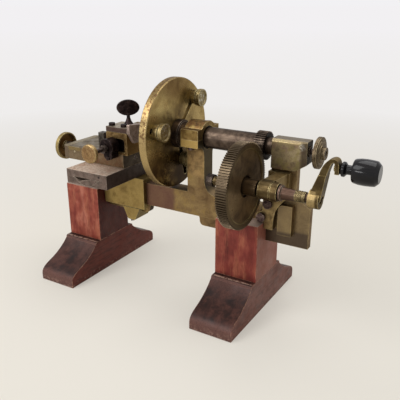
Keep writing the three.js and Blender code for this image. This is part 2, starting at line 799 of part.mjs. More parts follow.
const capBlock = block(
  uprightX, uprightEndX, -earHalfDepth, earHalfDepth, axisHeight, earTop,
);
const capHump = cut(
  rod(uprightX, uprightEndX, capRadius, "x", fineSides).translate([0, 0, axisHeight]),
  block(
    uprightX - overrun, uprightEndX + overrun, -earHalfDepth, earHalfDepth,
    axisHeight - capRadius - overrun, axisHeight,
  ),
);
addTo(
  part, "bearing_cap", cut(join(capBlock, capHump), bushSeat, capScrewHoles()), finishes.brightBrass,
);
addTo(part, "front_bush", ring(
  uprightX + bushSetback, uprightEndX - bushSetback, bushRadius, frontJournalRadius + runFit,
).translate([0, 0, axisHeight]), finishes.steel);

for (const [name, turn, y, z] of [
  ["front", Math.PI, -capScrewReach, capScrewSeat], ["back", 0, capScrewReach, earTop],
]) {
  const screw = addTo(part, `${name}_cap_screw`, slottedScrew(
    capScrewRadius, capScrewLength, capScrewHeadRadius, capScrewHeadHeight,
  ), finishes.steel);
  screw.rotation.x = turn;
  screw.position.set(uprightMidX, y, z);
}

function rearBlock() {
  const noseX = rearBlockEndX - rearBlockNoseLength;
  const top = axisHeight + rearBlockTopRise;
  const plan = plateAlongZ([
    [rearBlockX, -rearBlockHalfDepth], [noseX, -rearBlockHalfDepth],
    [rearBlockEndX, -rearBlockNoseHalfDepth], [rearBlockEndX, rearBlockNoseHalfDepth],
    [noseX, rearBlockHalfDepth], [rearBlockX, rearBlockHalfDepth],
  ], rearBlockBottom, top);
  const side = plateAlongY([
    [rearBlockX, rearBlockBottom], [noseX, rearBlockBottom],
    [rearBlockEndX, rearBlockBottom + rearBlockUndercut], [rearBlockEndX, top], [rearBlockX, top],
  ], -rearBlockHalfDepth, rearBlockHalfDepth);
  const end = plateAlongX([
    [-rearBlockHalfDepth, rearBlockBottom], [rearBlockHalfDepth, rearBlockBottom],
    [rearBlockHalfDepth, top - rearBlockEdge], [rearBlockHalfDepth - rearBlockEdge, top],
    [rearBlockEdge - rearBlockHalfDepth, top], [-rearBlockHalfDepth, top - rearBlockEdge],
  ], rearBlockX, rearBlockEndX);
  const bore = rod(rearBlockX - overrun, rearBlockEndX + overrun, rearJournalRadius + runFit)
    .translate([0, 0, axisHeight]);
  const mortise = block(
    tenonX[0] - seatFit, tenonX[1] + seatFit, -plateHalfDepth - seatFit, plateHalfDepth + seatFit,
    rearBlockBottom - overrun, rearBlockBottom + tenonHeight + seatFit,
  );
  return cut(plan.intersect(side).intersect(end), bore, mortise);
}

addTo(part, "rear_bearing_block", rearBlock(), finishes.steel);

// Mandrel, along its own axis

const mandrel = new THREE.Group();
mandrel.position.z = axisHeight;
part.add(mandrel);

const faceplateBack = faceplateX + faceplateThickness;
const gearEndX = gearX + gearWidth;
const mandrelEndX = rearBlockEndX + mandrelTailGap;
const rodBore = rodRadius + runFit;
const pinionSeatRadius = noseRadius;

addTo(mandrel, "mandrel_spindle", turned([
  [faceplateX, rodBore], [faceplateX, noseRadius], [faceplateBack, noseRadius],
  [faceplateBack, flangeRadius], [faceplateBack + flangeLength, flangeRadius],
  [faceplateBack + flangeLength, flangeNeckRadius], [uprightX - runFit, flangeNeckRadius],
  [uprightX - runFit, frontJournalRadius], [uprightEndX + runFit, frontJournalRadius],
  [uprightEndX + runFit, tubeRadius], [gearX, tubeRadius],
  [gearX, pinionSeatRadius], [rearBlockX - runFit, pinionSeatRadius],
  [rearBlockX - runFit, rearJournalRadius], [mandrelEndX, rearJournalRadius], [mandrelEndX, rodBore],
]), finishes.steel);

function faceplate() {
  const edge = faceplateEdge;
  const bore = noseRadius + seatFit;
  const disc = turned([
    [faceplateX, bore], [faceplateX, faceplateRadius - edge], [faceplateX + edge, faceplateRadius],
    [faceplateBack - edge, faceplateRadius], [faceplateBack, faceplateRadius - edge], [faceplateBack, bore],
  ], "x", faceplateSides);
  const half = faceplateSlotWidth / 2;
  const slotEnd = rod(faceplateX - overrun, faceplateBack + overrun, half, "x", smallSides);
  const slot = join(
    block(faceplateX - overrun, faceplateBack + overrun, faceplateSlotStart, faceplateSlotEnd, -half, half),
    slotEnd.translate([0, faceplateSlotStart, 0]), slotEnd.translate([0, faceplateSlotEnd, 0]),
  );
  const slots = dogRadii.map((_, i) => slot.rotate([slotAngle(i), 0, 0]));
  return cut(disc, ...slots);
}

// Degrees about X, from +Y towards +Z.
function slotAngle(index) {
  return faceplateSlotAngle + index * 360 / dogRadii.length;
}

addTo(mandrel, "faceplate", faceplate(), finishes.brightBrass);

// A toothed outline in Y and Z, with the middle of its first tooth at the given angle in degrees.
function toothedOutline(teeth, firstTooth) {
  const pitchRadius = gearModule * teeth / 2;
  const root = pitchRadius - toothRootShare * gearModule;
  const tip = pitchRadius + toothTipShare * gearModule;
  const step = 2 * Math.PI / teeth;
  const corners = [
    [-toothRootWidthShare, root], [-toothTipWidthShare, tip],
    [toothTipWidthShare, tip], [toothRootWidthShare, root],
  ];
  const outline = [];
  for (let tooth = 0; tooth < teeth; tooth += 1) {
    const middle = THREE.MathUtils.degToRad(firstTooth) + tooth * step;
    for (const [widthShare, radius] of corners) {
      const angle = middle + widthShare * step / 2;
      outline.push([radius * Math.cos(angle), radius * Math.sin(angle)]);
    }
  }
  return outline;
}

const centreDistance = gearModule * (wheelTeeth + pinionTeeth) / 2;
const crankY = -Math.sqrt(centreDistance ** 2 - crankDrop ** 2);
const crankHeight = axisHeight - crankDrop;
// Direction from the crank axis up to the mandrel axis, in degrees from +Y towards +Z.
const meshAngle = THREE.MathUtils.radToDeg(Math.atan2(crankDrop, -crankY));

const pinionFirstTooth = meshAngle + 180 + 180 / pinionTeeth;
addTo(mandrel, "pinion", cut(
  plateAlongX(toothedOutline(pinionTeeth, pinionFirstTooth), gearX, gearEndX),
  rod(gearX - overrun, gearEndX + overrun, pinionSeatRadius + seatFit),
), finishes.blackSteel);

// Dogs, each in its slot with its thumb nut behind the faceplate

function dogBody() {
  const half = dogLength / 2;
  const lip = dogThickness + dogLipDrop;
  const profile = new THREE.Shape([
    [0, half], [-dogThickness, half], [-dogThickness, dogLipLength - half + dogLipDrop],
    [-lip, dogLipLength - half], [-lip, -half - dogLipDrop], [-dogThickness, -half - dogLipDrop],
    [-dogLipDrop, -half], [0, -half],
  ].map(([x, y]) => new THREE.Vector2(x, y)));
  return plateAlongZ(profile, -dogWidth / 2, dogWidth / 2);
}

dogRadii.forEach((radius, index) => {
  const arm = new THREE.Group();
  arm.rotation.x = THREE.MathUtils.degToRad(slotAngle(index));
  const dog = new THREE.Group();
  dog.position.set(faceplateX, radius, 0);
  const shankEnd = faceplateThickness + dogShankReach;
  const body = join(dogBody(), rod(-dogThickness / 2, shankEnd, dogShankRadius, "x", smallSides));
  addTo(dog, `dog_${index + 1}`, body, finishes.steel);

  const bore = dogShankRadius + runFit;
  const start = faceplateThickness;
  const ringStart = start + dogNutBossWidth;
  const ringEnd = ringStart + dogNutRingWidth;
  const headStart = ringEnd + dogNutGrooveWidth;
  const end = headStart + dogNutWidth;
  const nut = turned([
    [start, bore], [start, dogNutBossRadius], [ringStart, dogNutBossRadius],
    [ringStart, dogNutRingRadius], [ringEnd, dogNutRingRadius], [ringEnd, dogNutBossRadius],
    [headStart, dogNutBossRadius], [headStart, dogNutRadius], [end, dogNutRadius],
    [end, dogNutRadius - dogNutRim], [end - dogNutDish, dogNutRadius - dogNutRim - dogNutDish],
    [end - dogNutDish, 0], [shankEnd + runFit, 0], [shankEnd + runFit, bore],
  ]);
  addTo(dog, `dog_nut_${index + 1}`, nut, finishes.brightBrass);
  arm.add(dog);
  mandrel.add(arm);
});

// Draw spindle with its hand knob

const rodTipX = faceplateX - rodProud - rodTipLength;
const knobX = rearBlockEndX + knobGap;
const knobEndX = knobX + knobWidth;
addTo(mandrel, "draw_spindle", turned([
  [rodTipX, 0], [faceplateX - rodProud, rodRadius], [knobEndX - knobStepWidth, rodRadius],
  [knobEndX - knobStepWidth, 0],
], "x", smallSides), finishes.steel);

function drawKnob() {
  const bore = rodRadius + seatFit;
  const [outer, middle, inner] = knobRingShares.map((share) => share * knobRadius);
  const rimStart = knobX + knobBackWidth;
  const rimEnd = rimStart + knobRimWidth;
  const grooveStart = rimEnd - 2 * knobRimGroove;
  const grooveEnd = rimEnd - knobRimGroove;
  return turned([
    [knobX, bore], [knobX, inner], [rimStart, middle], [rimStart, knobRadius],
    [grooveStart, knobRadius], [grooveStart, knobRadius - knobRimGroove],
    [grooveEnd, knobRadius - knobRimGroove], [grooveEnd, knobRadius], [rimEnd, knobRadius],
    [rimEnd, outer], [rimEnd + knobStepWidth, outer],
    [rimEnd + knobStepWidth, middle], [rimEnd + 2 * knobStepWidth, middle],
    [rimEnd + 2 * knobStepWidth, inner], [knobEndX, inner], [knobEndX, bore],
  ], "x", fineSides);
}

addTo(mandrel, "draw_knob", drawKnob(), finishes.brass);

// Crank, along its own axis

const crank = new THREE.Group();
crank.position.set(0, crankY, crankHeight);
part.add(crank);

const seat = arborRadius + seatFit;
const barrelEndX = barrelX + barrelLength;
const arborRingX = barrelEndX + arborRingGap;
const arborNutEndX = arborNutX + arborNutWidth;
const taperX = arborRingX + arborRingWidth;
const collarX = taperX + arborTaperLength;
const crankHubX = collarX + collarLength + crankHubGap;
const crankHubEndX = crankHubX + crankHubLength;
const armFootX = crankHubX + armFootSetback;
const armEndX = armFootX + armReach;

addTo(crank, "crank_arbor", turned([
  [arborNutX - arborEndInset, 0], [arborNutX - arborEndInset, arborRadius], [arborRingX, arborRadius],
  [arborRingX, arborRingRadius], [taperX, arborRingRadius], [taperX, arborTaperRadius],
  [collarX, arborRadius + arborEndInset], [collarX, arborRadius],
  [crankHubEndX - arborEndInset, arborRadius], [crankHubEndX - arborEndInset, 0],
]), finishes.steel);
addTo(crank, "arbor_nut", cut(
  rod(arborNutX, arborNutEndX, arborNutRadius, "x", arborNutSides),
  rod(arborNutX - overrun, arborNutEndX + overrun, seat),
), finishes.blackSteel);
addTo(crank, "arbor_sleeve", ring(arborNutEndX, gearX, arborSleeveRadius, seat), finishes.brightBrass);

function crankWheel() {
  const web = ring(-overrun, wheelWebInset, wheelRimRadius, wheelHubRadius, "x", fineSides);
  const outline = plateAlongX(toothedOutline(wheelTeeth, meshAngle), gearX, gearEndX);
  const hub = rod(gearX + wheelWebInset, gearEndX + wheelHubLength, wheelHubRadius);
  const webEndX = gearEndX - wheelWebInset;
  const recess = ring(webEndX - wheelRecessDepth, gearEndX, wheelRecessRadius, wheelHubRadius);
  const sides = [web.translate([gearX, 0, 0]), web.mirror([1, 0, 0]).translate([gearEndX, 0, 0])];
  return cut(
    join(cut(outline, ...sides, recess), hub),
    rod(gearX - overrun, gearEndX + wheelHubLength + overrun, seat),
  );
}

addTo(crank, "crank_wheel", crankWheel(), finishes.brass);

function ringedCollar() {
  const steps = [[0, seat], [0, collarRadius]];
  for (let groove = 1; groove < collarLength / collarGrooveWidth / 2; groove += 1) {
    const at = (2 * groove - 1) * collarGrooveWidth;
    steps.push([at, collarRadius], [at, collarGrooveRadius]);
    steps.push([at + collarGrooveWidth, collarGrooveRadius], [at + collarGrooveWidth, collarRadius]);
  }
  steps.push([collarLength, collarRadius], [collarLength, seat]);
  return turned(steps).translate([collarX, 0, 0]);
}

addTo(crank, "ringed_collar", ringedCollar(), finishes.brightBrass);

const armFootEndX = armFootX + armFootLength;
const armStepX = armFootX + armStepLean;
const armStepEndX = armStepX + armFootLength - armStepTaper;

// The swan neck in X and Z, from its step over its crown and down to the handle
function neckOutline() {
  const endX = armEndX - armEndThickness;
  const crown = handleThrow + armCrownRise;
  const innerCrown = crown - armCrownThickness;
  const endBottom = handleThrow - armEndHalfHeight;
  const crownX = (armStepEndX + armEndX) / 2;
  const shape = new THREE.Shape();
  shape.moveTo(armFootX, 0);
  shape.lineTo(armFootEndX, 0);
  shape.lineTo(armStepEndX, armStepHeight);
  shape.bezierCurveTo(
    armStepEndX + armEndThickness / 2, handleThrow, crownX - armEndThickness / 2, innerCrown,
    crownX, innerCrown,
  );
  shape.quadraticCurveTo(endX, innerCrown, endX, handleThrow);
  shape.lineTo(endX, endBottom);
  shape.lineTo(armEndX, endBottom);
  shape.lineTo(armEndX, handleThrow);
  shape.quadraticCurveTo(armEndX, crown, crownX, crown);
  shape.bezierCurveTo(
    crownX - armStepTaper, crown, armStepX + armStepTaper, crown - armCrownThickness,
    armStepX, armStepHeight,
  );
  return shape;
}

const armInnerX = armEndX - armEndThickness;
const handleHole = join(
  rod(armInnerX - overrun, armEndX + overrun, handleSpindleRadius + seatFit, "x", smallSides),
  rod(armInnerX - overrun, armInnerX, handleScrewRadius + runFit, "x", smallSides),
).translate([0, 0, handleThrow]);
const armNeck = cut(plateAlongY(neckOutline(), -armNeckDepth / 2, armNeckDepth / 2, 8), handleHole);
const armFoot = plateAlongY([
  [armFootX, 0], [armFootEndX, 0], [armStepEndX, armStepHeight], [armStepX, armStepHeight],
  [armFootX + armFootInset, crankHubRadius],
], -armWidth / 2, armWidth / 2);
addTo(crank, "crank_arm", cut(
  join(armNeck, armFoot, rod(crankHubX, crankHubEndX, crankHubRadius)),
  rod(crankHubX - overrun, crankHubEndX + overrun, seat),
), finishes.brightBrass);

// Handle on its spindle, along the spindle's axis from the end of the arm

const grip = new THREE.Group();
grip.position.set(armEndX, 0, handleThrow);
crank.add(grip);

addTo(grip, "handle_spindle", turned([
  [-armEndThickness - handleScrewHeight, 0], [-armEndThickness - handleScrewHeight, handleScrewRadius],
  [-armEndThickness, handleScrewRadius], [-armEndThickness, handleSpindleRadius],
  [handleLength - handleSpindleInset, handleSpindleRadius], [handleLength - handleSpindleInset, 0],
], "x", smallSides), finishes.brightBrass);

function handleProfile() {
  const bore = handleSpindleRadius + runFit;
  const boreEnd = handleLength - handleSpindleInset + runFit;
  const neckX = handleBeadLength;
  const barrel = neckX + handleNeckLength;
  const tail = handleLength;
  const points = [[runFit, bore], [runFit, handleNeckRadius]];
  points.push([handleBeadLength / 3, handleBeadRadius], [2 * handleBeadLength / 3, handleBeadRadius]);
  points.push([neckX, handleNeckRadius], [barrel, handleNeckRadius], [barrel, handleShoulderRadius]);
  const swell = tail - barrel - handleEndRound;
  for (const [lengthShare, bulgeShare] of handleSwellShares) {
    const radius = THREE.MathUtils.lerp(handleShoulderRadius, handleRadius, bulgeShare);
    points.push([barrel + lengthShare * swell, radius]);
  }
  points.push([tail - handleEndRound, handleEndRadius], [tail, handleEndRadius - handleEndRound]);
  points.push([tail, 0], [boreEnd, 0], [boreEnd, bore]);
  return points;
}

addTo(grip, "crank_handle", turned(handleProfile(), "x", fineSides), finishes.ebony);

// Bracket that carries the crank

function bracketOutline() {
  const left = rightPostEndX + bracketPostGap;
  const right = left + bracketFootLength;
  const top = rearBlockBottom - bracketTopDrop;
  const ledge = postTopHeight + bracketPostGap;
  const shape = new THREE.Shape();
  shape.moveTo(left, bedBottomHeight + bracketFootRise);
  shape.lineTo(right, bedBottomHeight + bracketFootRise);
  shape.quadraticCurveTo(
    right, bracketWaistHeight - bracketFlareCurve, bracketWaistX, bracketWaistHeight,
  );
  shape.quadraticCurveTo(
    bracketFlareX - bracketFlareCurve, bracketFlareHeight - bracketFlareCurve / 2,
    bracketFlareX, bracketFlareHeight,
  );
  shape.lineTo(bracketFlareX, top);
  shape.lineTo(neckX, top);
  shape.lineTo(neckX, bracketFlareHeight);
  shape.lineTo(bracketLeftX, bracketFlareHeight - bracketShoulderDrop);
  shape.lineTo(bracketLeftX, bracketEarHeight);
  shape.lineTo(bracketEarX, ledge);
  shape.lineTo(left, ledge);
  return shape;
}

function bracket() {
  const plate = plateAlongY(bracketOutline(), bracketFront, -plateHalfDepth, 6);
  const ear = cut(
    rod(bracketFront, -plateHalfDepth, bracketEarRadius, "y").translate([bracketEarX, 0, bracketEarHeight]),
    block(
      bracketEarX - bracketEarRadius - overrun, rightPostEndX + bracketPostGap, bracketFront - overrun, 0,
      bracketEarHeight - bracketEarRadius - overrun, postTopHeight + bracketPostGap,
    ),
  );
  const armUnder = crankHeight - bracketArmUnderDrop;
  const armRoot = crankHeight - bracketArmRootDrop;
  const arm = plateAlongX([
    [crankY, armUnder], [bracketFront, armRoot], [-plateHalfDepth, armRoot],
    [-plateHalfDepth, rearBlockBottom - bracketTopDrop], [bracketFront, rearBlockBottom - bracketTopDrop],
    [crankY, crankHeight + barrelRadius],
  ], barrelX, barrelX + bracketArmLength);
  const barrel = rod(barrelX, barrelEndX, barrelRadius).translate([0, crankY, crankHeight]);
  const grooveStart = barrelX + barrelGrooveX;
  const groove = ring(
    grooveStart, grooveStart + barrelGrooveWidth, barrelRadius + overrun, barrelRadius - barrelGrooveDepth,
  ).translate([0, crankY, crankHeight]);
  const bore = rod(barrelX - overrun, barrelEndX + overrun, arborRadius + runFit)
    .translate([0, crankY, crankHeight]);
  return cut(join(plate, ear, arm, barrel), groove, bore, ...bracketScrewPlaces.map(bracketScrewHole));
}

addTo(part, "crank_bracket", bracket(), finishes.brightBrass);
for (const [name, x, z] of bracketScrewPlaces) {
  const screw = addTo(part, `bracket_${name}_screw`, slottedScrew(
    bracketScrewRadius, bracketScrewLength, bracketScrewHeadRadius, bracketScrewHeadHeight,
  ), finishes.blackSteel);
  screw.rotation.x = Math.PI / 2;
  screw.position.set(x, bracketFront, z);
}

// Saddle, and its clamp below the bed

const saddleRoofHeight = bedTopHeight + runFit;
const saddleTopHeight = saddleRoofHeight + saddleRoofThickness;
const tableBottom = saddleTopHeight + tableGap;
const tableTop = tableBottom + tableThickness;
const wayScrewX = (grooveLeftX + grooveRightX) / 2;

const wayScrewHole = screwHole(
  wayScrewRadius, wayScrewLength, wayScrewHeadRadius, wayScrewHeadHeight, true,
).rotate([180, 0, 0]).translate([wayScrewX, 0, saddleRoofHeight]);

const keystoneTop = saddleBottomHeight - keystoneGap;
const keystoneMidX = keystoneX + keystoneTopLength / 2;

const saddle = cut(
  block(saddleX, saddleEndX, -saddleHalfDepth, saddleHalfDepth, saddleBottomHeight, saddleTopHeight),
  block(
    saddleX - overrun, saddleEndX + overrun, -bedHalfDepth - runFit, bedHalfDepth + runFit,
    saddleBottomHeight - overrun, saddleRoofHeight,
  ),
  wayScrewHole, clampScrewHole(-1), clampScrewHole(1),
);
addTo(part, "saddle", saddle, finishes.brass);

function clampScrewHole(side) {
  const hole = rod(
    -keystoneHeight - overrun, keystoneGap + clampScrewReach + runFit, clampScrewRadius + runFit,
    "z", smallSides,
  );
  return hole.translate([keystoneMidX, side * clampScrewY, keystoneTop]);
}

function keystone() {
  const wedge = plateAlongY([
    [keystoneMidX - keystoneTopLength / 2, keystoneTop],
    [keystoneMidX - keystoneBottomLength / 2, keystoneTop - keystoneHeight],
    [keystoneMidX + keystoneBottomLength / 2, keystoneTop - keystoneHeight],
    [keystoneMidX + keystoneTopLength / 2, keystoneTop],
  ], -keystoneHalfDepth, keystoneHalfDepth);
  const tangSlot = block(
    keystoneX - overrun, keystoneX + keystoneTopLength + overrun,
    -plateHalfDepth - runFit, plateHalfDepth + runFit, plateBottomHeight - runFit, keystoneTop + overrun,
  );
  return cut(wedge, tangSlot, clampScrewHole(-1), clampScrewHole(1));
}

addTo(part, "keystone_clamp", keystone(), finishes.brass);
for (const [side, name] of [[-1, "front"], [1, "back"]]) {
  const screw = addTo(part, `${name}_clamp_screw`, slottedScrew(
    clampScrewRadius, keystoneHeight + keystoneGap + clampScrewReach,
    clampScrewHeadRadius, clampScrewHeadHeight,
  ), finishes.steel);
  screw.rotation.x = Math.PI;
  screw.position.set(keystoneMidX, side * clampScrewY, keystoneTop - keystoneHeight);
}

// Cross way and table

function grooveOutline(fit) {
  const bottom = tableBottom;
  const lean = grooveFlank / grooveHeight;
  const top = bottom + grooveHeight - fit;
  const inset = fit * Math.hypot(1, lean);
  return {
    left: (height) => grooveLeftX + inset + (bottom + grooveHeight - height) * lean,
    right: (height) => grooveRightX - inset - (bottom + grooveHeight - height) * lean,
    top,
  };
}

function crossWay() {
  const flank = grooveOutline(runFit);
  const shoulder = flank.top - wayCrownDrop;
  const outline = [
    [flank.left(saddleTopHeight), saddleTopHeight], [flank.left(shoulder), shoulder],
    [wayCrownX, flank.top], [flank.right(flank.top), flank.top],
    [flank.right(saddleTopHeight), saddleTopHeight],
  ];
  const way = plateAlongY(outline, tableFront + wayInset, tableFront + tableDepth - wayInset);
  return cut(way, wayScrewHole);
}

addTo(part, "cross_way", crossWay(), finishes.iron);
const wayScrew = addTo(part, "way_screw", slottedScrew(
  wayScrewRadius, wayScrewLength, wayScrewHeadRadius, wayScrewHeadHeight, true,
), finishes.steel);
wayScrew.rotation.x = Math.PI;
wayScrew.position.set(wayScrewX, 0, saddleRoofHeight + runFit);

function crossTable() {
  const flank = grooveOutline(0);
  const low = tableBottom - overrun;
  const groove = plateAlongY([
    [flank.left(low), low], [flank.left(flank.top), flank.top],
    [flank.right(flank.top), flank.top], [flank.right(low), low],
  ], tableFront - overrun, tableFront + tableDepth + overrun);
  return cut(
    block(tableX, tableX + tableLength, tableFront, tableFront + tableDepth, tableBottom, tableTop), groove,
  );
}

addTo(part, "cross_table", crossTable(), finishes.iron);

// Long slide with its feed screw and hand wheel

const slideBottom = tableTop + slideGap;
const slideTop = slideBottom + longSlideHeight;
const longSlideEndX = longSlideX + longSlideLength;
const longSlideBack = longSlideFront + longSlideDepth;
const longScrewHeight = slideBottom + longScrewRise;
const longScrewClear = longScrewRadius + runFit;

function longSlide() {
  const plan = plateAlongZ([
    [longSlideX, longSlideFront + longSlideEdge], [longSlideX + longSlideEdge, longSlideFront],
    [longSlideEndX, longSlideFront], [longSlideEndX, longSlideBack],
    [longSlideX + longSlideEdge, longSlideBack], [longSlideX, longSlideBack - longSlideEdge],
  ], slideBottom, slideTop);
  const cavity = block(
    longSlideX + cavityEndWall, longSlideEndX - cavityEndWall,
    longSlideFront + cavityWall, longSlideBack - cavityWall, slideBottom - overrun, slideTop - cavityRoof,
  );
  const screwBore = rod(longSlideX - overrun, longSlideEndX + overrun, longScrewClear, "x", smallSides)
    .translate([0, longScrewY, longScrewHeight]);
  const jointX = longSlideX + endPlateLength;
  const joint = cut(
    block(
      jointX, jointX + endPlateJoint, longSlideFront - overrun, longSlideBack + overrun,
      slideBottom - overrun, slideTop + overrun,
    ),
    block(
      jointX - overrun, jointX + endPlateJoint + overrun, longSlideFront + endPlateJoint,
      longSlideBack - endPlateJoint, slideBottom - overrun, slideTop - endPlateJoint,
    ),
  );
  return cut(plan, cavity, joint, screwBore, bearingScrewHole(), bridgeScrewHole);
}

const bridgeEndX = bridgeX + bridgeLength;
const bridgeTop = slideTop + bridgeHeight;
const bridgeScrewX = topScrewX + topScrewRadius + bridgeScrewInset;
const bridgeScrewY = (longSlideFront + longSlideBack) / 2;
const bridgeScrewHole = screwHole(
  bridgeScrewRadius, bridgeScrewLength, bridgeScrewHeadRadius, bridgeScrewHeadHeight, true,
).translate([bridgeScrewX, bridgeScrewY, slideTop + bridgeFloor]);

const topScrewClear = topScrewRadius + runFit;
const topScrewHeight = slideTop + topScrewRise;
const bearingFront = longSlideFront - bearingDepth;
const bearingScrewHeight = slideTop - bearingScrewDrop;
const bearingScrewX = topScrewX + bearingFootShift;

function bearingScrewHole() {
  return rod(
    bearingFront - overrun, longSlideFront + bearingScrewReach + runFit, bearingScrewRadius + runFit,
    "y", smallSides,
  ).translate([bearingScrewX, 0, bearingScrewHeight]);
}

addTo(part, "long_slide", longSlide(), finishes.brass);
addTo(part, "long_nut", cut(
  block(
    longNutX, longNutX + longNutLength, longSlideFront + cavityWall + runFit,
    longSlideBack - cavityWall - runFit, tableTop, slideTop - cavityRoof - runFit,
  ),
  rod(longNutX - overrun, longNutX + longNutLength + overrun, longScrewClear, "x", smallSides)
    .translate([0, longScrewY, longScrewHeight]),
), finishes.brass);

const longFeed = new THREE.Group();
longFeed.position.set(0, longScrewY, longScrewHeight);
part.add(longFeed);
const wheelEndX = handWheelX + handWheelWidth;
addTo(longFeed, "long_feed_screw", turned([
  [handWheelX, 0], [handWheelX, longScrewRadius], [wheelEndX, longScrewRadius],
  [wheelEndX, handWheelHubRadius], [longSlideX - runFit, handWheelHubRadius],
  [longSlideX - runFit, longScrewRadius], [longSlideEndX, longScrewRadius], [longSlideEndX, 0],
], "x", smallSides), finishes.steel);
addTo(longFeed, "hand_wheel", turned([
  [handWheelX, longScrewRadius + seatFit], [handWheelX, handWheelRadius - handWheelEdge],
  [handWheelX + handWheelEdge, handWheelRadius], [wheelEndX, handWheelRadius],
  [wheelEndX, handWheelRadius - handWheelRim], [wheelEndX - handWheelDish, handWheelRadius - handWheelRim],
  [wheelEndX - handWheelDish, handWheelHubRadius], [wheelEndX, handWheelHubRadius],
  [wheelEndX, longScrewRadius + seatFit],
], "x", fineSides), finishes.brass);

addTo(part, "slide_stud", block(
  slideStudX - slideStudWidth / 2, slideStudX + slideStudWidth / 2,
  slideStudY - slideStudWidth / 2, slideStudY + slideStudWidth / 2, slideTop, slideTop + slideStudHeight,
), finishes.iron);

// Bridge block

function roundedOpening(x0, x1, z0, z1, radius) {
  const shape = new THREE.Shape();
  shape.moveTo(x0, z0);
  shape.lineTo(x1, z0);
  shape.lineTo(x1, z1 - radius);
  shape.quadraticCurveTo(x1, z1, x1 - radius, z1);
  shape.lineTo(x0 + radius, z1);
  shape.quadraticCurveTo(x0, z1, x0, z1 - radius);
  return shape;
}

const bridgeRoofBottom = bridgeTop - bridgeRoof;
const stemHalf = topStemWidth / 2;

function bridge() {
  const opening = plateAlongY(
    roundedOpening(
      bridgeX + bridgeWall, bridgeEndX - bridgeRightWall, slideTop + bridgeFloor, bridgeRoofBottom,
      bridgeArchRadius,
    ), longSlideFront - overrun, longSlideBack + overrun, 4,
  );
  const roofSlot = block(
    topScrewX - stemHalf - runFit, topScrewX + stemHalf + runFit,
    topNutY - roofSlotFrontReach, topNutY + roofSlotBackReach,
    bridgeRoofBottom - overrun, bridgeTop + overrun,
  );
  return cut(
    block(bridgeX, bridgeEndX, longSlideFront, longSlideBack, slideTop, bridgeTop), opening, roofSlot,
    bridgeScrewHole,
  );
}

addTo(part, "bridge_block", bridge(), finishes.brightBrass);
const bridgeScrew = addTo(part, "bridge_screw", slottedScrew(
  bridgeScrewRadius, bridgeScrewLength, bridgeScrewHeadRadius, bridgeScrewHeadHeight, true,
), finishes.steel);
bridgeScrew.position.set(bridgeScrewX, bridgeScrewY, slideTop + bridgeFloor);

// Bearing of the cross feed screw

function screwBearing() {
  const middle = [topScrewX + bearingShift, 0, topScrewHeight + bearingLift];
  const body = rod(bearingFront, longSlideFront, bearingRadius, "y").translate(middle);
  const foot = rod(bearingFront, longSlideFront, bearingFootRadius, "y")
    .translate([bearingScrewX, 0, slideTop + bearingFootRise]);
  const bore = rod(bearingFront - overrun, longSlideFront + overrun, topScrewClear, "y", smallSides)
    .translate([topScrewX, 0, topScrewHeight]);
  return cut(join(body, foot), bore, bearingScrewHole());
}

addTo(part, "screw_bearing", screwBearing(), finishes.blackSteel);
const bearingScrew = addTo(part, "bearing_screw", slottedScrew(
  bearingScrewRadius, bearingDepth + bearingScrewReach, bearingScrewRadius + slotDepth,
  bearingScrewHeadHeight,
), finishes.blackSteel);
bearingScrew.rotation.x = Math.PI / 2;
bearingScrew.position.set(bearingScrewX, bearingFront, bearingScrewHeight);

// Cross feed screw and its knob

const topFeed = new THREE.Group();
topFeed.position.set(topScrewX, 0, topScrewHeight);
part.add(topFeed);
const knobBackY = frontKnobY + frontKnobWidth;
const knobFaceEndY = frontKnobY + frontKnobFace;
const topScrewEndY = longSlideBack - bridgeScrewInset;
addTo(topFeed, "cross_feed_screw", turned([
  [knobFaceEndY + runFit, 0], [knobFaceEndY + runFit, topScrewRadius],
  [bearingFront - bearingCollarLength - runFit, topScrewRadius],
  [bearingFront - bearingCollarLength - runFit, frontKnobBossRadius],
  [bearingFront - runFit, frontKnobBossRadius], [bearingFront - runFit, topScrewRadius],
  [topScrewEndY, topScrewRadius], [topScrewEndY, 0],
], "y", smallSides), finishes.steel);
addTo(topFeed, "front_knob", turned([
  [frontKnobY, 0], [frontKnobY, frontKnobRadius - handWheelEdge],
  [frontKnobY + handWheelEdge, frontKnobRadius], [knobBackY, frontKnobRadius],
  [knobBackY, frontKnobBossRadius], [knobBackY + frontKnobBossWidth, frontKnobBossRadius],
  [knobBackY + frontKnobBossWidth, topScrewRadius + seatFit],
  [knobFaceEndY, topScrewRadius + seatFit], [knobFaceEndY, 0],
], "y", fineSides), finishes.brightBrass);

// Top slide, its nut and the cutter clamp

const topSlideBottom = bridgeTop + runFit;
const topSlideTop = topSlideBottom + topSlideThickness;
const jawX = bridgeEndX + runFit;
const topSlideBack = longSlideFront + topSlideDepth;

const thumbHole = rod(-topSlideThickness - overrun, overrun, thumbShankRadius + runFit, "z", smallSides)
  .translate([thumbX, thumbY, topSlideTop]);
const clampStudPlaces = [bridgeX + clampStudInset, bridgeX + clampStudInset + clampStudSpacing];

function clampStudHole(x) {
  return screwHole(clampStudRadius, clampStudLength, clampStudHeadRadius, clampStudHeadHeight)
    .translate([x, clampStudY, topSlideTop]);
}

addTo(part, "top_slide", cut(
  block(bridgeX, jawX, longSlideFront, topSlideBack, topSlideBottom, topSlideTop),
  thumbHole, ...clampStudPlaces.map(clampStudHole),
), finishes.iron);

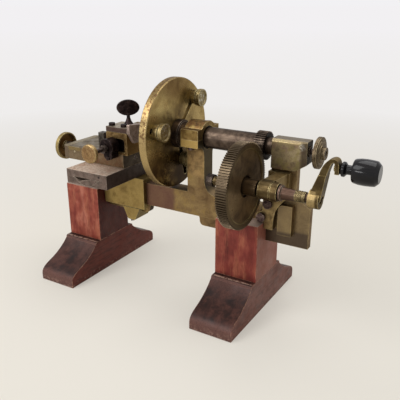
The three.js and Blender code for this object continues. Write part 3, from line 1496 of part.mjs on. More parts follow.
function crossFeedNut() {
  const left = topScrewX - topNutLeftReach;
  const right = topScrewX + topNutRightReach;
  const bottom = slideTop + bridgeFloor + runFit;
  const top = bridgeRoofBottom - runFit;
  const nut = plateAlongY(
    roundedOpening(left, right, bottom, top, topNutRound),
    topNutY - topNutDepth / 2, topNutY + topNutDepth / 2, 6,
  );
  const stem = block(
    topScrewX - stemHalf, topScrewX + stemHalf, topNutY - topStemDepth / 2, topNutY + topStemDepth / 2,
    top - overrun, topSlideBottom,
  );
  const bore = rod(topNutY - topNutDepth, topNutY + topNutDepth, topScrewClear, "y", smallSides)
    .translate([topScrewX, 0, topScrewHeight]);
  return cut(join(nut, stem), bore);
}

addTo(part, "cross_feed_nut", crossFeedNut(), finishes.blackSteel);

const jawTop = topSlideTop + jawTopRise;
const jawBottom = bridgeTop - jawBottomDrop;
addTo(part, "clamp_jaw", plateAlongX([
  [longSlideFront, jawTop - jawTopSetback], [longSlideFront, topSlideBottom],
  [longSlideFront + jawBottomInset, jawBottom], [topSlideBack - jawBottomInset, jawBottom],
  [topSlideBack, topSlideBottom], [topSlideBack, jawTop - jawTopFall - jawTopSetback],
  [topSlideBack - jawTopSetback, jawTop - jawTopFall], [longSlideFront + jawTopSetback, jawTop],
], jawX, jawX + jawThickness), finishes.iron);

clampStudPlaces.forEach((x, index) => {
  const screw = addTo(part, `jaw_screw_${index + 1}`, slottedScrew(
    clampStudRadius, clampStudLength, clampStudHeadRadius, clampStudHeadHeight,
  ), finishes.blackSteel);
  screw.position.set(x, clampStudY, topSlideTop);
});

// The thumb screw's flat oval head stands on its stem
function thumbScrew() {
  const oval = rod(-thumbHeadThickness / 2, thumbHeadThickness / 2, thumbHeadHeight / 2, "y", roundSides)
    .scale([thumbHeadWidth / thumbHeadHeight, 1, 1])
    .rotate([0, 0, thumbHeadAngle])
    .translate([0, 0, thumbShankRise + thumbHeadHeight / 2 - thumbHeadSink]);
  const stem = turned([
    [-topSlideThickness, 0], [-topSlideThickness, thumbShankRadius], [0, thumbShankRadius],
    [0, thumbCollarRadius], [thumbCollarHeight / 2, thumbCollarMidRadius],
    [thumbCollarHeight, thumbCollarTopRadius], [thumbShankRise, thumbCollarTopRadius],
    [thumbShankRise, 0],
  ], "z", smallSides);
  return join(stem, oval);
}

const thumb = addTo(part, "thumb_screw", thumbScrew(), finishes.blackSteel);
thumb.position.set(thumbX, thumbY, topSlideTop);

// The part stands on its feet, centred under its own bounds
const bounds = new THREE.Box3().setFromObject(part);
const middle = bounds.getCenter(new THREE.Vector3());
part.position.set(-middle.x, -middle.y, -bounds.min.z);

export default part;
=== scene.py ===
"""Looks of a watchmaker's hand-cranked mandrel lathe: finishes, edges, light and camera.

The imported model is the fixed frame, in metres. +X runs along the mandrel towards the crank,
+Y away from the operator and +Z up.
"""
import math

import bpy
from mathutils import Matrix, Vector


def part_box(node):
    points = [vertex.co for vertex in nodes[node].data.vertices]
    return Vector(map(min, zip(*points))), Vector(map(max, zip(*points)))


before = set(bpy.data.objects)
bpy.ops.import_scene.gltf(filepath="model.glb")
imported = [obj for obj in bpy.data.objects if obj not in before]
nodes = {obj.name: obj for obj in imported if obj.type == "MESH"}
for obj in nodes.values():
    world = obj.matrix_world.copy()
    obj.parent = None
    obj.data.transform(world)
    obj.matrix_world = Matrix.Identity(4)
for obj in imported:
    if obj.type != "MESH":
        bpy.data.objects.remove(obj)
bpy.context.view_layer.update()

MM = 0.001

# Camera, solved from the photograph
CAMERA_PLACE = Vector((283.85, -482.56, 321.4)) * MM
CAMERA_FORWARD = Vector((-0.48037, 0.80483, -0.34856))
CAMERA_UP = Vector((-0.1787, 0.2993, 0.9373))
SENSOR_WIDTH = 36
FOCAL_LENGTH = 48.62

# Edges
EDGE_WIDTH = 0.45 * MM
FINE_EDGE_WIDTH = 0.15 * MM
WOOD_EDGE_WIDTH = 1.1 * MM
WELD_DISTANCE = 0.002 * MM
FLAT_ANGLE = math.radians(0.6)
SHARP_ANGLE = math.radians(32)
EDGE_TINT = 0.55  # how much light old metal gives back at a glancing angle

# Marks of age: specks, grime and painted shade in corners, and wear on edges
SPECK_SIZE = 1.1 * MM
RUB_SIZE = 5 * MM
GRIME_AND_SHADE_REACH = 5 * MM
WORN_RADIUS = 1.1 * MM
WOOD_RUB_SIZE = 6 * MM
WOOD_GRIME_AND_SHADE_REACH = 7 * MM
WOOD_WORN_RADIUS = 1.4 * MM
WOOD_WORN = (176, 134, 110)

# Wood grain, and how rough and how glossy the woods and the floor are
GRAIN_SIZE = 12 * MM
CLOUD_SIZE = 16 * MM
PORE_SIZE = 1.1 * MM
PORE_DEPTH = 0.08 * MM
POLISH_SIZE = 14 * MM
WOOD_GLOSSY, WOOD_DULL = 0.38, 0.6
MAHOGANY_GLEAM = 0.2
EBONY_GLEAM = 0.24
EBONY_ROUGHNESS = 0.14
EBONY_GRAIN_SIZE = 2 * MM
FLOOR_GLEAM = 0.0
FLOOR_ROUGHNESS = 0.9

# Turned marks, by their distance from the axis
RIM_START, RIM_END = 59.2 * MM, 62 * MM
TOOTH_ROOT, TOOTH_END = 40.5 * MM, 46 * MM
HUB_RADIUS, HUB_DARK_RING_END = 8.3 * MM, 10.8 * MM
FINE_SOFT = 0.4 * MM
WAVES_PER_UNIT = 3.2  # about the rings that the wave texture draws in a unit of length at scale 1

BLACK = (0, 0, 0, 1)

# Directions
LEFT, RIGHT = Vector((-1, 0, 0)), Vector((1, 0, 0))
FRONT, BACK = Vector((0, -1, 0)), Vector((0, 1, 0))
DOWN, UP = Vector((0, 0, -1)), Vector((0, 0, 1))


def srgb(red, green, blue):
    """A colour written as 0 to 255 per channel, as linear values."""
    def linear(value):
        value /= 255
        return value / 12.92 if value <= 0.04045 else ((value + 0.055) / 1.055) ** 2.4
    return (linear(red), linear(green), linear(blue), 1.0)


def at(node, *shares):
    """A place in a node's box, from its share of the way along X, Y and Z."""
    low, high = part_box(node)
    return tuple(a + (b - a) * share for a, b, share in zip(low, high, shares))


def middle(node):
    """The middle of a turned node's box, which its axis goes through."""
    return at(node, 0.5, 0.5, 0.5)


# Node helpers

class Graph:
    """The node tree of one material, with short ways to add to it."""

    def __init__(self, name):
        self.material = bpy.data.materials.new(name)
        self.material.use_nodes = True
        self.tree = self.material.node_tree
        self.shader = self.tree.nodes["Principled BSDF"]
        texture = self.add("ShaderNodeTexCoord")
        self.coordinates = texture.outputs["Object"]
        self.normal = texture.outputs["Normal"]

    def add(self, kind, **settings):
        node = self.tree.nodes.new(kind)
        for key, value in settings.items():
            setattr(node, key, value)
        return node

    def link(self, value, socket):
        if isinstance(value, bpy.types.NodeSocket):
            self.tree.links.new(value, socket)
        else:
            socket.default_value = value

    def mapped(self, scale=(1, 1, 1), place=(0, 0, 0), turn=(0, 0, 0)):
        node = self.add("ShaderNodeMapping", vector_type="TEXTURE")
        self.link(self.coordinates, node.inputs["Vector"])
        node.inputs["Location"].default_value = place
        node.inputs["Rotation"].default_value = turn
        node.inputs["Scale"].default_value = scale
        return node.outputs["Vector"]

    def noise(self, size, detail=4, roughness=0.6, vector=None, distortion=0):
        """Noise whose blotches are about size metres across."""
        node = self.add("ShaderNodeTexNoise")
        self.link(vector or self.coordinates, node.inputs["Vector"])
        node.inputs["Scale"].default_value = 1 / size
        node.inputs["Detail"].default_value = detail
        node.inputs["Roughness"].default_value = roughness
        node.inputs["Distortion"].default_value = distortion
        return node.outputs["Fac"]

    def ramp(self, value, stops):
        """Values from pairs of position and colour or number."""
        node = self.add("ShaderNodeValToRGB")
        self.link(value, node.inputs["Fac"])
        elements = node.color_ramp.elements
        while len(elements) < len(stops):
            elements.new(0.5)
        for element, (position, colour) in zip(elements, stops):
            element.position = position
            element.color = colour if isinstance(colour, tuple) else (colour, colour, colour, 1)
        return node.outputs["Color"]

    def mix(self, factor, first, second):
        node = self.add("ShaderNodeMix", data_type="RGBA")
        self.link(factor, node.inputs["Factor"])
        self.link(first, node.inputs[6])
        self.link(second, node.inputs[7])
        return node.outputs[2]

    def math(self, operation, first, second):
        node = self.add("ShaderNodeMath", operation=operation)
        self.link(first, node.inputs[0])
        self.link(second, node.inputs[1])
        return node.outputs[0]

    def times(self, first, second):
        return self.math("MULTIPLY", first, second)

    def step(self, value, start, end):
        """Rises smoothly from 0 at start to 1 at end."""
        node = self.add("ShaderNodeMapRange", interpolation_type="SMOOTHSTEP")
        self.link(value, node.inputs["Value"])
        node.inputs["From Min"].default_value = start
        node.inputs["From Max"].default_value = end
        return node.outputs["Result"]

    def dot(self, first, second):
        node = self.add("ShaderNodeVectorMath", operation="DOT_PRODUCT")
        self.link(first, node.inputs[0])
        self.link(second, node.inputs[1])
        return node.outputs["Value"]

    def edges(self, radius):
        """About 1 along worn edges and corners and 0 on the flats."""
        bevel = self.add("ShaderNodeBevel", samples=4)
        bevel.inputs["Radius"].default_value = radius
        geometry = self.add("ShaderNodeNewGeometry")
        likeness = self.dot(bevel.outputs["Normal"], geometry.outputs["Normal"])
        return self.ramp(likeness, [(0.86, 1.0), (0.985, 0.0)])

    def recess_shade(self, reach):
        """About 1 deep in corners and 0 in the open, from ambient occlusion: it paints shade where little
        light reaches.
        """
        shade = self.add("ShaderNodeAmbientOcclusion", samples=6)
        shade.inputs["Distance"].default_value = reach
        return self.ramp(shade.outputs["AO"], [(0.25, 1.0), (0.8, 0.0)])

    def rings(self, place, axis, spacing):
        """Fine turned rings about a line along the axis through place."""
        turn = {"x": (0, math.pi / 2, 0), "y": (math.pi / 2, 0, 0)}[axis]
        node = self.add("ShaderNodeTexWave", wave_type="RINGS", rings_direction="Z")
        self.link(self.mapped(place=place, turn=turn), node.inputs["Vector"])
        node.inputs["Scale"].default_value = 1 / spacing / WAVES_PER_UNIT
        node.inputs["Distortion"].default_value = 0.4
        node.inputs["Detail"].default_value = 1
        return node.outputs["Fac"]

    def finish(self, colour, roughness, height=None, bump=0.0, metallic=0.0):
        self.link(colour, self.shader.inputs["Base Color"])
        self.link(roughness, self.shader.inputs["Roughness"])
        self.shader.inputs["Metallic"].default_value = metallic
        if metallic:
            self.shader.inputs["Specular Tint"].default_value = (EDGE_TINT, EDGE_TINT, EDGE_TINT, 1)
        if height is not None:
            node = self.add("ShaderNodeBump")
            self.link(height, node.inputs["Height"])
            node.inputs["Distance"].default_value = bump
            node.inputs["Strength"].default_value = 1
            self.link(node.outputs["Normal"], self.shader.inputs["Normal"])
        return self.material


# Masks: each call gives a function that takes a graph and returns about 1 where the tone lies

def beyond(place, direction, soft=2 * MM):
    """Past the plane through place that faces along direction."""
    start = Vector(place).dot(direction)

    def mask(graph):
        return graph.step(graph.dot(graph.coordinates, direction), start - soft / 2, start + soft / 2)
    return mask


def facing(direction, start=0.5, full=0.85):
    """Where the surface faces along direction."""
    return lambda graph: graph.step(graph.dot(graph.normal, direction), start, full)


def near(place, radius, soft, stretch=(1, 1, 1)):
    """Within radius of a place, in a ball stretched along its axes."""
    def mask(graph):
        length = graph.add("ShaderNodeVectorMath", operation="LENGTH")
        graph.link(graph.mapped(scale=stretch, place=place), length.inputs[0])
        return graph.step(length.outputs["Value"], radius + soft / 2, radius - soft / 2)
    return mask


def ring(place, axis, inner, outer, soft=0.6 * MM):
    """Between two distances from the line along the axis through place."""
    flat = {"x": (0, 1, 1), "y": (1, 0, 1)}[axis]

    def mask(graph):
        offset = graph.add("ShaderNodeVectorMath", operation="SUBTRACT")
        graph.link(graph.coordinates, offset.inputs[0])
        offset.inputs[1].default_value = place
        across = graph.add("ShaderNodeVectorMath", operation="MULTIPLY")
        graph.link(offset.outputs["Vector"], across.inputs[0])
        across.inputs[1].default_value = flat
        length = graph.add("ShaderNodeVectorMath", operation="LENGTH")
        graph.link(across.outputs["Vector"], length.inputs[0])
        value = length.outputs["Value"]
        risen = graph.step(value, inner - soft / 2, inner + soft / 2)
        return graph.times(risen, graph.step(value, outer + soft / 2, outer - soft / 2))
    return mask


def both(*masks):
    """Where all the masks are."""
    def mask(graph):
        value = masks[0](graph)
        for other in masks[1:]:
            value = graph.times(value, other(graph))
        return value
    return mask


def box_of(node, low, high, soft=2 * MM):
    """In the part of a node's box between two corners given as shares; None leaves a side open."""
    sides = []
    for axis, direction in enumerate((RIGHT, BACK, UP)):
        for share, way in ((low[axis], direction), (high[axis], -direction)):
            if share is not None:
                sides.append(beyond(at(node, share, share, share), way, soft))
    return both(*sides)


def blotches(size, start=0.5, full=0.6, shift=0.0):
    """Patches about size metres across, more of them the lower start is."""
    def mask(graph):
        vector = graph.mapped(place=(shift, shift, shift))
        return graph.ramp(graph.noise(size, detail=3, vector=vector), [(start, 0.0), (full, 1.0)])
    return mask


def streaks(size, start=0.5, full=0.6, stretch=(1, 9, 1)):
    """Long thin streaks about size metres across, stretched along an axis."""
    def mask(graph):
        vector = graph.mapped(scale=stretch)
        return graph.ramp(graph.noise(size, detail=3, vector=vector), [(start, 0.0), (full, 1.0)])
    return mask


def edge(radius):
    """Along worn edges and corners."""
    return lambda graph: graph.edges(radius)


# Finishes

def lay_coats(graph, colour, coats):
    """Lays further tones over a colour: each coat is a mask, a tone and how much of it."""
    for mask, tone, amount in coats:
        colour = graph.mix(graph.times(mask(graph), amount), colour, srgb(*tone))
    return colour


def metal(name, tones, patch=14 * MM, worn=None, rings=None, roughness=(0.28, 0.5), pits=0.35,
          coats=(), metallic=0.85, grime_and_shade=0.5, bump=0.05 * MM):
    """Old handled metal: three tones in patches, specks, grime and painted shade in corners, and brighter
    worn edges.
    """
    graph = Graph(name)
    dark, base, light = (srgb(*tone) for tone in tones)
    patches = graph.noise(patch, detail=5, roughness=0.62, distortion=0.4)
    colour = graph.ramp(patches, [(0.36, dark), (0.5, base), (0.66, light)])
    colour = lay_coats(graph, colour, coats)
    specks = graph.noise(SPECK_SIZE, detail=3, roughness=0.7)
    dirt = graph.ramp(specks, [(0.36, 1.0), (0.5, 0.0)])
    # the dark tone for the specks' dirt and for the painted shade in recesses
    dirt_and_shade = graph.mix(0.6, dark, BLACK)
    colour = graph.mix(graph.times(dirt, pits), colour, dirt_and_shade)
    # grime and painted shade: darkened where ambient occlusion finds a corner or recess
    colour = graph.mix(graph.times(graph.recess_shade(GRIME_AND_SHADE_REACH), grime_and_shade), colour, dirt_and_shade)
    if worn:
        rubbed = graph.ramp(graph.noise(RUB_SIZE, detail=3), [(0.35, 0.15), (0.6, 0.9)])
        colour = graph.mix(graph.times(graph.edges(WORN_RADIUS), rubbed), colour, srgb(*worn))
    height = specks
    if rings:
        height = graph.math("ADD", graph.times(graph.rings(*rings), 0.6), graph.times(specks, 0.4))
    rough = graph.ramp(patches, [(0.3, roughness[1]), (0.7, roughness[0])])
    return graph.finish(colour, rough, height, bump, metallic)


def mahogany(name, tones, along, coats):
    """Polished mahogany with its grain along one axis and rubbed edges."""
    graph = Graph(name)
    dark, base, light = (srgb(*tone) for tone in tones)
    stretch = {"z": (1, 1, 6), "y": (1, 6, 1)}[along]
    grain_space = graph.mapped(scale=stretch)
    broad = graph.noise(GRAIN_SIZE, detail=4, roughness=0.55, vector=grain_space, distortion=0.8)
    cloud = graph.noise(CLOUD_SIZE, detail=3, roughness=0.5)
    mottle = graph.math("ADD", graph.times(broad, 0.5), graph.times(cloud, 0.5))
    fine = graph.noise(PORE_SIZE, detail=3, roughness=0.65, vector=grain_space)
    colour = graph.ramp(mottle, [(0.38, dark), (0.5, base), (0.62, light)])
    colour = lay_coats(graph, colour, coats)
    pores = graph.ramp(fine, [(0.34, 0.5), (0.48, 0.0)])
    colour = graph.mix(pores, colour, dark)
    # grime and painted shade: the wood darkened where ambient occlusion finds a corner or recess
    grime_and_shade = graph.times(graph.recess_shade(WOOD_GRIME_AND_SHADE_REACH), 0.45)
    colour = graph.mix(grime_and_shade, colour, graph.mix(0.5, dark, BLACK))
    rubbed = graph.ramp(graph.noise(WOOD_RUB_SIZE, detail=4), [(0.38, 0.0), (0.58, 0.9)])
    colour = graph.mix(graph.times(graph.edges(WOOD_WORN_RADIUS), rubbed), colour, srgb(*WOOD_WORN))
    rough = graph.ramp(graph.noise(POLISH_SIZE), [(0.35, WOOD_GLOSSY), (0.65, WOOD_DULL)])
    graph.shader.inputs["Specular IOR Level"].default_value = MAHOGANY_GLEAM
    return graph.finish(colour, rough, fine, PORE_DEPTH)


def ebony():
    """Polished black wood, with a faint grain under the polish."""
    graph = Graph("polished_ebony")
    grain = graph.noise(EBONY_GRAIN_SIZE, detail=3, vector=graph.mapped(scale=(8, 1, 1)))
    colour = graph.ramp(grain, [(0.3, srgb(8, 8, 9)), (0.7, srgb(24, 21, 22))])
    graph.shader.inputs["Specular IOR Level"].default_value = EBONY_GLEAM
    return graph.finish(colour, EBONY_ROUGHNESS)


def bed_brass():
    saddle_end = at("saddle", 1, 0.5, 0.5)
    plate = at("crank_bracket", 0, 0.5, 0.5)
    head = at("bearing_cap", 0, 0, 0)
    disc = at("faceplate", 1, 0.5, 0.5)
    coats = [
        (both(beyond(saddle_end, RIGHT), beyond(disc, LEFT, 6 * MM)), (108, 76, 66), 0.8),
        (both(beyond(disc, RIGHT, 8 * MM), beyond(plate, LEFT), blotches(12 * MM)), (150, 124, 74), 0.6),
        (both(beyond(head, DOWN, 6 * MM), beyond(at("bearing_cap", 0, 0, -2.4), UP, 8 * MM), facing(FRONT),
              blotches(9 * MM, 0.45, 0.58)), (168, 138, 92), 0.75),
        (both(beyond(at("bearing_cap", 0, 0, -0.55), UP, 2 * MM), facing(FRONT)), (186, 156, 92), 0.85),
        # painted shade: the upright's right-facing sides darkened
        (both(facing(RIGHT), beyond(plate, LEFT)), (50, 47, 36), 0.85),
        (both(beyond(plate, RIGHT), facing(FRONT)), (132, 116, 88), 0.6),
        (both(beyond(plate, RIGHT), facing(FRONT), beyond(at("crank_bracket", 0, 0, 0), DOWN, 4 * MM)),
         (74, 62, 54), 0.85),
        (facing(UP), (120, 106, 84), 0.35),
    ]
    return metal("bed_brass", [(102, 80, 54), (130, 106, 72), (150, 126, 84)], 18 * MM, (186, 164, 112),
                 coats=coats, grime_and_shade=0.45)


def cap_brass():
    coats = [
        (both(facing(UP, 0.3, 0.8), blotches(5 * MM, 0.42, 0.56)), (104, 68, 44), 0.65),
        (both(facing(UP, 0.3, 0.8), blotches(4 * MM, 0.52, 0.6, shift=0.3)), (70, 52, 38), 0.7),
        # painted shade: the cap's right-facing side darkened
        (facing(RIGHT), (96, 80, 50), 0.5),
    ]
    return metal("cap_brass", [(104, 80, 46), (140, 114, 66), (166, 142, 90)], 7 * MM, (216, 196, 146),
                 coats=coats)


def faceplate_brass():
    centre = middle("faceplate")
    rim = ring(centre, "x", RIM_START, RIM_END)
    coats = [
        (blotches(18 * MM, 0.46, 0.6, shift=0.2), (166, 140, 88), 0.55),
        (both(near(centre, 34 * MM, 30 * MM), blotches(9 * MM, 0.32, 0.58)), (74, 58, 34), 0.75),
        (both(beyond(at("faceplate", 0, 0, 0.36), DOWN, 44 * MM), blotches(12 * MM, 0.3, 0.52, shift=0.1)),
         (66, 46, 24), 0.9),
        # painted shade: a near-black patch low on the back face where the bed and upright stand
        (near(at("faceplate", 1, 0.62, 0.1), 26 * MM, 26 * MM), (34, 24, 16), 0.8),
        (near(at("faceplate", 1, 0.42, 0.93), 20 * MM, 16 * MM, (1, 1.6, 0.6)), (92, 66, 34), 0.6),
        (both(near(at("faceplate", 1, 0.2, 0.66), 26 * MM, 24 * MM), blotches(12 * MM, 0.36, 0.56)),
         (180, 160, 104), 0.6),
        (both(near(at("faceplate", 1, 0.8, 0.66), 26 * MM, 18 * MM), blotches(10 * MM, 0.36, 0.55)),
         (184, 160, 106), 0.65),
        (ring(centre, "x", RIM_START, RIM_END, FINE_SOFT), (174, 150, 102), 0.9),
        (both(rim, beyond(at("faceplate", 0, 0, 0.75), UP, 30 * MM)), (122, 98, 58), 0.6),
        (both(rim, beyond(centre, UP, 20 * MM), blotches(3 * MM, 0.52, 0.58)), (96, 62, 40), 0.8),
    ]
    return metal("faceplate_brass", [(96, 76, 42), (138, 114, 66), (164, 140, 88)], 24 * MM, (224, 206, 152),
                 rings=(centre, "x", 0.8 * MM), coats=coats, roughness=(0.22, 0.38), pits=0.2)


def nut_brass():
    coats = [
        (facing(RIGHT, 0.6, 0.95), (146, 134, 104), 0.45),
        # painted highlight: near-white specks on the right face
        (both(facing(RIGHT, 0.6, 0.95), blotches(3 * MM, 0.55, 0.62)), (214, 210, 200), 0.6),
    ]
    return metal("nut_brass", [(98, 82, 52), (136, 118, 78), (164, 148, 106)], 6 * MM, (206, 190, 142),
                 coats=coats)


def wheel_brass():
    centre = middle("crank_wheel")
    coats = [
        (ring(centre, "x", 35 * MM, TOOTH_ROOT), (90, 78, 56), 0.6),
        (ring(centre, "x", 35.6 * MM, 36.8 * MM, 0.5 * MM), (170, 152, 110), 0.65),
        (ring(centre, "x", TOOTH_ROOT, TOOTH_END), (92, 79, 62), 0.92),
        # a darker ring round the hub's foot
        (ring(centre, "x", HUB_RADIUS, HUB_DARK_RING_END), (54, 44, 34), 0.8),
        (ring(centre, "x", 0, HUB_RADIUS), (68, 53, 35), 0.85),
    ]
    return metal("wheel_brass", [(86, 69, 50), (118, 98, 72), (140, 120, 90)], 16 * MM,
                 rings=(centre, "x", 0.7 * MM), coats=coats, roughness=(0.26, 0.42), grime_and_shade=0.2)


def block_steel():
    worn_spot_and_glint = at("rear_bearing_block", 0.862, 0, 0.813)
    coats = [
        (facing(UP), (124, 114, 102), 0.75),
        (both(facing(FRONT), blotches(6 * MM, 0.5, 0.62, shift=0.1)), (130, 100, 92), 0.5),
        (both(facing(FRONT), blotches(7 * MM, 0.52, 0.62, shift=0.3)), (150, 138, 84), 0.5),
        (both(facing(FRONT), beyond(at("rear_bearing_block", 0, 0, 0.86), UP, 4 * MM)),
         (178, 158, 112), 0.6),
        # painted highlight: a near-white glint at the top of the nose, also standing for a worn spot
        (both(near(worn_spot_and_glint, 3.4 * MM, 2 * MM), blotches(1.4 * MM, 0.44, 0.52)), (240, 232, 214), 0.95),
        # painted shade: the turned nose of the front face and the right-facing end darkened
        (both(facing(FRONT), beyond(at("rear_bearing_block", 0.83, 0, 0), RIGHT, 4 * MM)),
         (60, 49, 41), 0.8),
        (facing(RIGHT, 0.3, 0.7), (30, 25, 20), 0.92),
    ]
    return metal("block_steel", [(114, 100, 76), (154, 137, 104), (176, 160, 126)], 9 * MM, (196, 180, 142),
                 coats=coats)


def knob_brass():
    centre = middle("draw_knob")
    coats = [
        (ring(centre, "x", 12.4 * MM, 13.3 * MM, FINE_SOFT), (54, 42, 34), 0.7),
        (ring(centre, "x", 8.6 * MM, 9.2 * MM, FINE_SOFT), (54, 42, 34), 0.6),
        (ring(centre, "x", 10.4 * MM, 11 * MM, FINE_SOFT), (160, 144, 112), 0.5),
        (near(at("draw_knob", 1, 0.5, 0.5), 6 * MM, 1 * MM), (76, 62, 50), 0.6),
    ]
    return metal("draw_knob_brass", [(78, 64, 48), (108, 93, 72), (132, 117, 92)], 8 * MM, (168, 152, 118),
                 coats=coats, pits=0.15)


def table_iron():
    side = at("cross_table", 1, 0, 0)
    hole = at("cross_table", 0.814, 0, 0.78)
    coats = [
        # dust and painted light from above: the top lightened
        (facing(UP), (186, 160, 138), 0.7),
        (both(facing(UP), blotches(2.4 * MM, 0.42, 0.58)), (214, 196, 178), 0.8),
        (both(facing(UP), blotches(7 * MM, 0.5, 0.62, shift=0.1)), (164, 120, 96), 0.4),
        (facing(FRONT), (94, 77, 68), 0.7),
        (both(facing(FRONT), blotches(5 * MM, 0.5, 0.6, shift=0.4)), (72, 62, 54), 0.6),
        # painted shade: the right side darkened nearly to black
        (facing(RIGHT), (46, 34, 28), 0.9),
        # painted shade: a dark spot for the inside of a small hole
        (near(hole, 1.3 * MM, 0.6 * MM), (18, 14, 14), 0.9),
        (both(near(side, 100 * MM, 10 * MM), edge(1.4 * MM), facing(UP, 0.3, 0.6)), (176, 164, 150), 0.5),
    ]
    return metal("table_iron", [(112, 94, 84), (142, 124, 112), (164, 148, 136)], 6 * MM, (190, 174, 156),
                 coats=coats, bump=0.09 * MM, metallic=0.5, pits=0.35, roughness=(0.4, 0.6))


def slide_brass():
    front_left = both(facing(FRONT), box_of("long_slide", (0.09, None, 0.72), (0.3, None, None), 0.8 * MM))
    screw = at("long_slide", 0.2, 0, 0.63)
    coats = [
        (facing(FRONT), (122, 100, 74), 0.6),
        (both(facing(FRONT), beyond(at("long_slide", 0.55, 0, 0), RIGHT, 6 * MM),
              blotches(5 * MM, 0.42, 0.58)), (110, 78, 56), 0.6),
        (front_left, (134, 114, 74), 0.85),
        (near(screw, 2 * MM, 0.6 * MM), (60, 48, 36), 0.8),
        # painted highlight: the pale middle of the small screw head
        (near(screw, 1.4 * MM, 0.5 * MM), (184, 168, 136), 0.8),
        (both(facing(FRONT), beyond(at("long_slide", 0.085, 0, 0), LEFT, 0.8 * MM)), (104, 90, 76), 0.6),
        # dust and painted light from above: paler patches on the top
        (both(facing(UP), blotches(9 * MM, 0.4, 0.6)), (136, 127, 112), 0.6),
        (both(facing(UP), beyond(at("long_slide", 0.085, 0, 0), LEFT, 0.8 * MM)), (166, 152, 124), 0.6),
        # painted shade: the right side darkened
        (facing(RIGHT), (50, 40, 34), 0.75),
    ]
    return metal("slide_brass", [(86, 74, 56), (116, 102, 80), (142, 128, 106)], 9 * MM, (176, 162, 130),
                 coats=coats, metallic=0.75)


def bridge_brass():
    coats = [
        (facing(RIGHT), (150, 116, 64), 0.75),
        (both(facing(FRONT), blotches(4 * MM, 0.5, 0.6)), (150, 124, 84), 0.6),
    ]
    return metal("bridge_brass", [(88, 66, 38), (118, 94, 58), (140, 114, 74)], 8 * MM, (192, 168, 116),
                 coats=coats, grime_and_shade=0.25)


def saddle_brass():
    coats = [
        (both(facing(FRONT), blotches(9 * MM, 0.42, 0.6)), (164, 140, 82), 0.5),
        # painted shade: the right side darkened
        (facing(RIGHT), (92, 80, 44), 0.6),
    ]
    return metal("saddle_brass", [(122, 99, 56), (144, 120, 70), (158, 134, 82)], 14 * MM, (202, 182, 126),
                 coats=coats, metallic=0.75, pits=0.2)


def tube_steel():
    coats = [
        (beyond(at("mandrel_spindle", 0.06, 0, 0), LEFT, 1 * MM), (58, 54, 50), 0.4),
        (both(blotches(4 * MM, 0.5, 0.6), beyond(at("bearing_cap", 1, 0, 0), RIGHT)), (96, 82, 70), 0.4),
    ]
    return metal("tube_steel", [(50, 40, 33), (74, 61, 51), (98, 83, 70)], 9 * MM, (140, 126, 110),
                 coats=coats, roughness=(0.3, 0.42), pits=0.25)


def top_slide_iron():
    coats = [
        # dust and painted light from above: the top lightened
        (facing(UP), (178, 166, 144), 0.75),
        (facing(FRONT), (74, 54, 46), 0.85),
        (both(facing(UP), blotches(4 * MM, 0.52, 0.62)), (110, 92, 74), 0.6),
    ]
    return metal("top_slide_iron", [(84, 68, 60), (110, 94, 84), (136, 120, 108)], 7 * MM, (150, 134, 118),
                 coats=coats, metallic=0.6)


def jaw_iron():
    coats = [(blotches(1.6 * MM, 0.46, 0.56), (152, 134, 124), 0.6)]
    return metal("jaw_iron", [(120, 100, 90), (158, 137, 125), (180, 161, 147)], 4 * MM, (192, 174, 158),
                 coats=coats, metallic=0.5, bump=0.12 * MM, grime_and_shade=0.3)


def front_knob_brass():
    centre = middle("front_knob")
    coats = [
        (ring(centre, "y", 9.2 * MM, 12 * MM), (184, 160, 112), 0.5),
        (ring(centre, "y", 4.6 * MM, 5.6 * MM, FINE_SOFT), (112, 84, 56), 0.6),
        (both(facing(FRONT), blotches(4 * MM, 0.46, 0.6)), (132, 100, 66), 0.6),
    ]
    tones = [(118, 90, 58), (152, 122, 82), (176, 148, 104)]
    return metal("front_knob_brass", tones, 5 * MM, (200, 180, 134),
                 rings=(centre, "y", 1.1 * MM), coats=coats, pits=0.2)


def hand_wheel_brass():
    coats = [
        (facing(RIGHT), (98, 68, 32), 0.85),
        (ring(middle("hand_wheel"), "x", 15 * MM, 18 * MM), (172, 152, 100), 0.6),
    ]
    return metal("hand_wheel_brass", [(84, 67, 34), (124, 104, 62), (152, 133, 88)], 6 * MM, (206, 196, 158),
                 coats=coats)


def arm_brass():
    coats = [
        (facing(RIGHT, 0.6, 0.9), (92, 78, 52), 0.5),
        (facing(LEFT, 0.6, 0.9), (80, 74, 56), 0.5),
        (both(facing(FRONT, 0.4, 0.8), beyond(at("crank_arm", 0, 0, 0.4), UP, 6 * MM)), (60, 48, 28), 0.6),
        # painted light from above: up-facing faces lightened
        (facing(UP, 0.4, 0.8), (160, 136, 88), 0.4),
        # polished brass with a painted highlight on the hub
        (both(ring(middle("crank_wheel"), "x", 0, 11 * MM), beyond(at("crank_arm", 0.28, 0, 0), LEFT)),
         (196, 170, 118), 0.55),
    ]
    return metal("arm_brass", [(64, 50, 29), (90, 74, 45), (116, 99, 63)], 9 * MM, (200, 178, 124),
                 coats=coats)


def bracket_brass():
    coats = [
        (both(facing(FRONT), blotches(6 * MM, 0.5, 0.62)), (104, 86, 58), 0.4),
        (facing(RIGHT), (134, 115, 78), 0.5),
        (ring(middle("crank_wheel"), "x", 0, 10.5 * MM), (64, 50, 27), 0.85),
    ]
    return metal("bracket_brass", [(108, 90, 60), (146, 124, 84), (170, 148, 102)], 8 * MM, (206, 186, 134),
                 coats=coats, grime_and_shade=0.3)


def arbor_steel():
    taper = at("ringed_collar", 0, 0.5, 0.5)
    coats = [(beyond(taper, LEFT, 1 * MM), (84, 62, 51), 0.75)]
    return metal("arbor_steel", [(60, 46, 38), (88, 70, 58), (116, 98, 84)], 6 * MM, (176, 164, 146),
                 coats=coats)


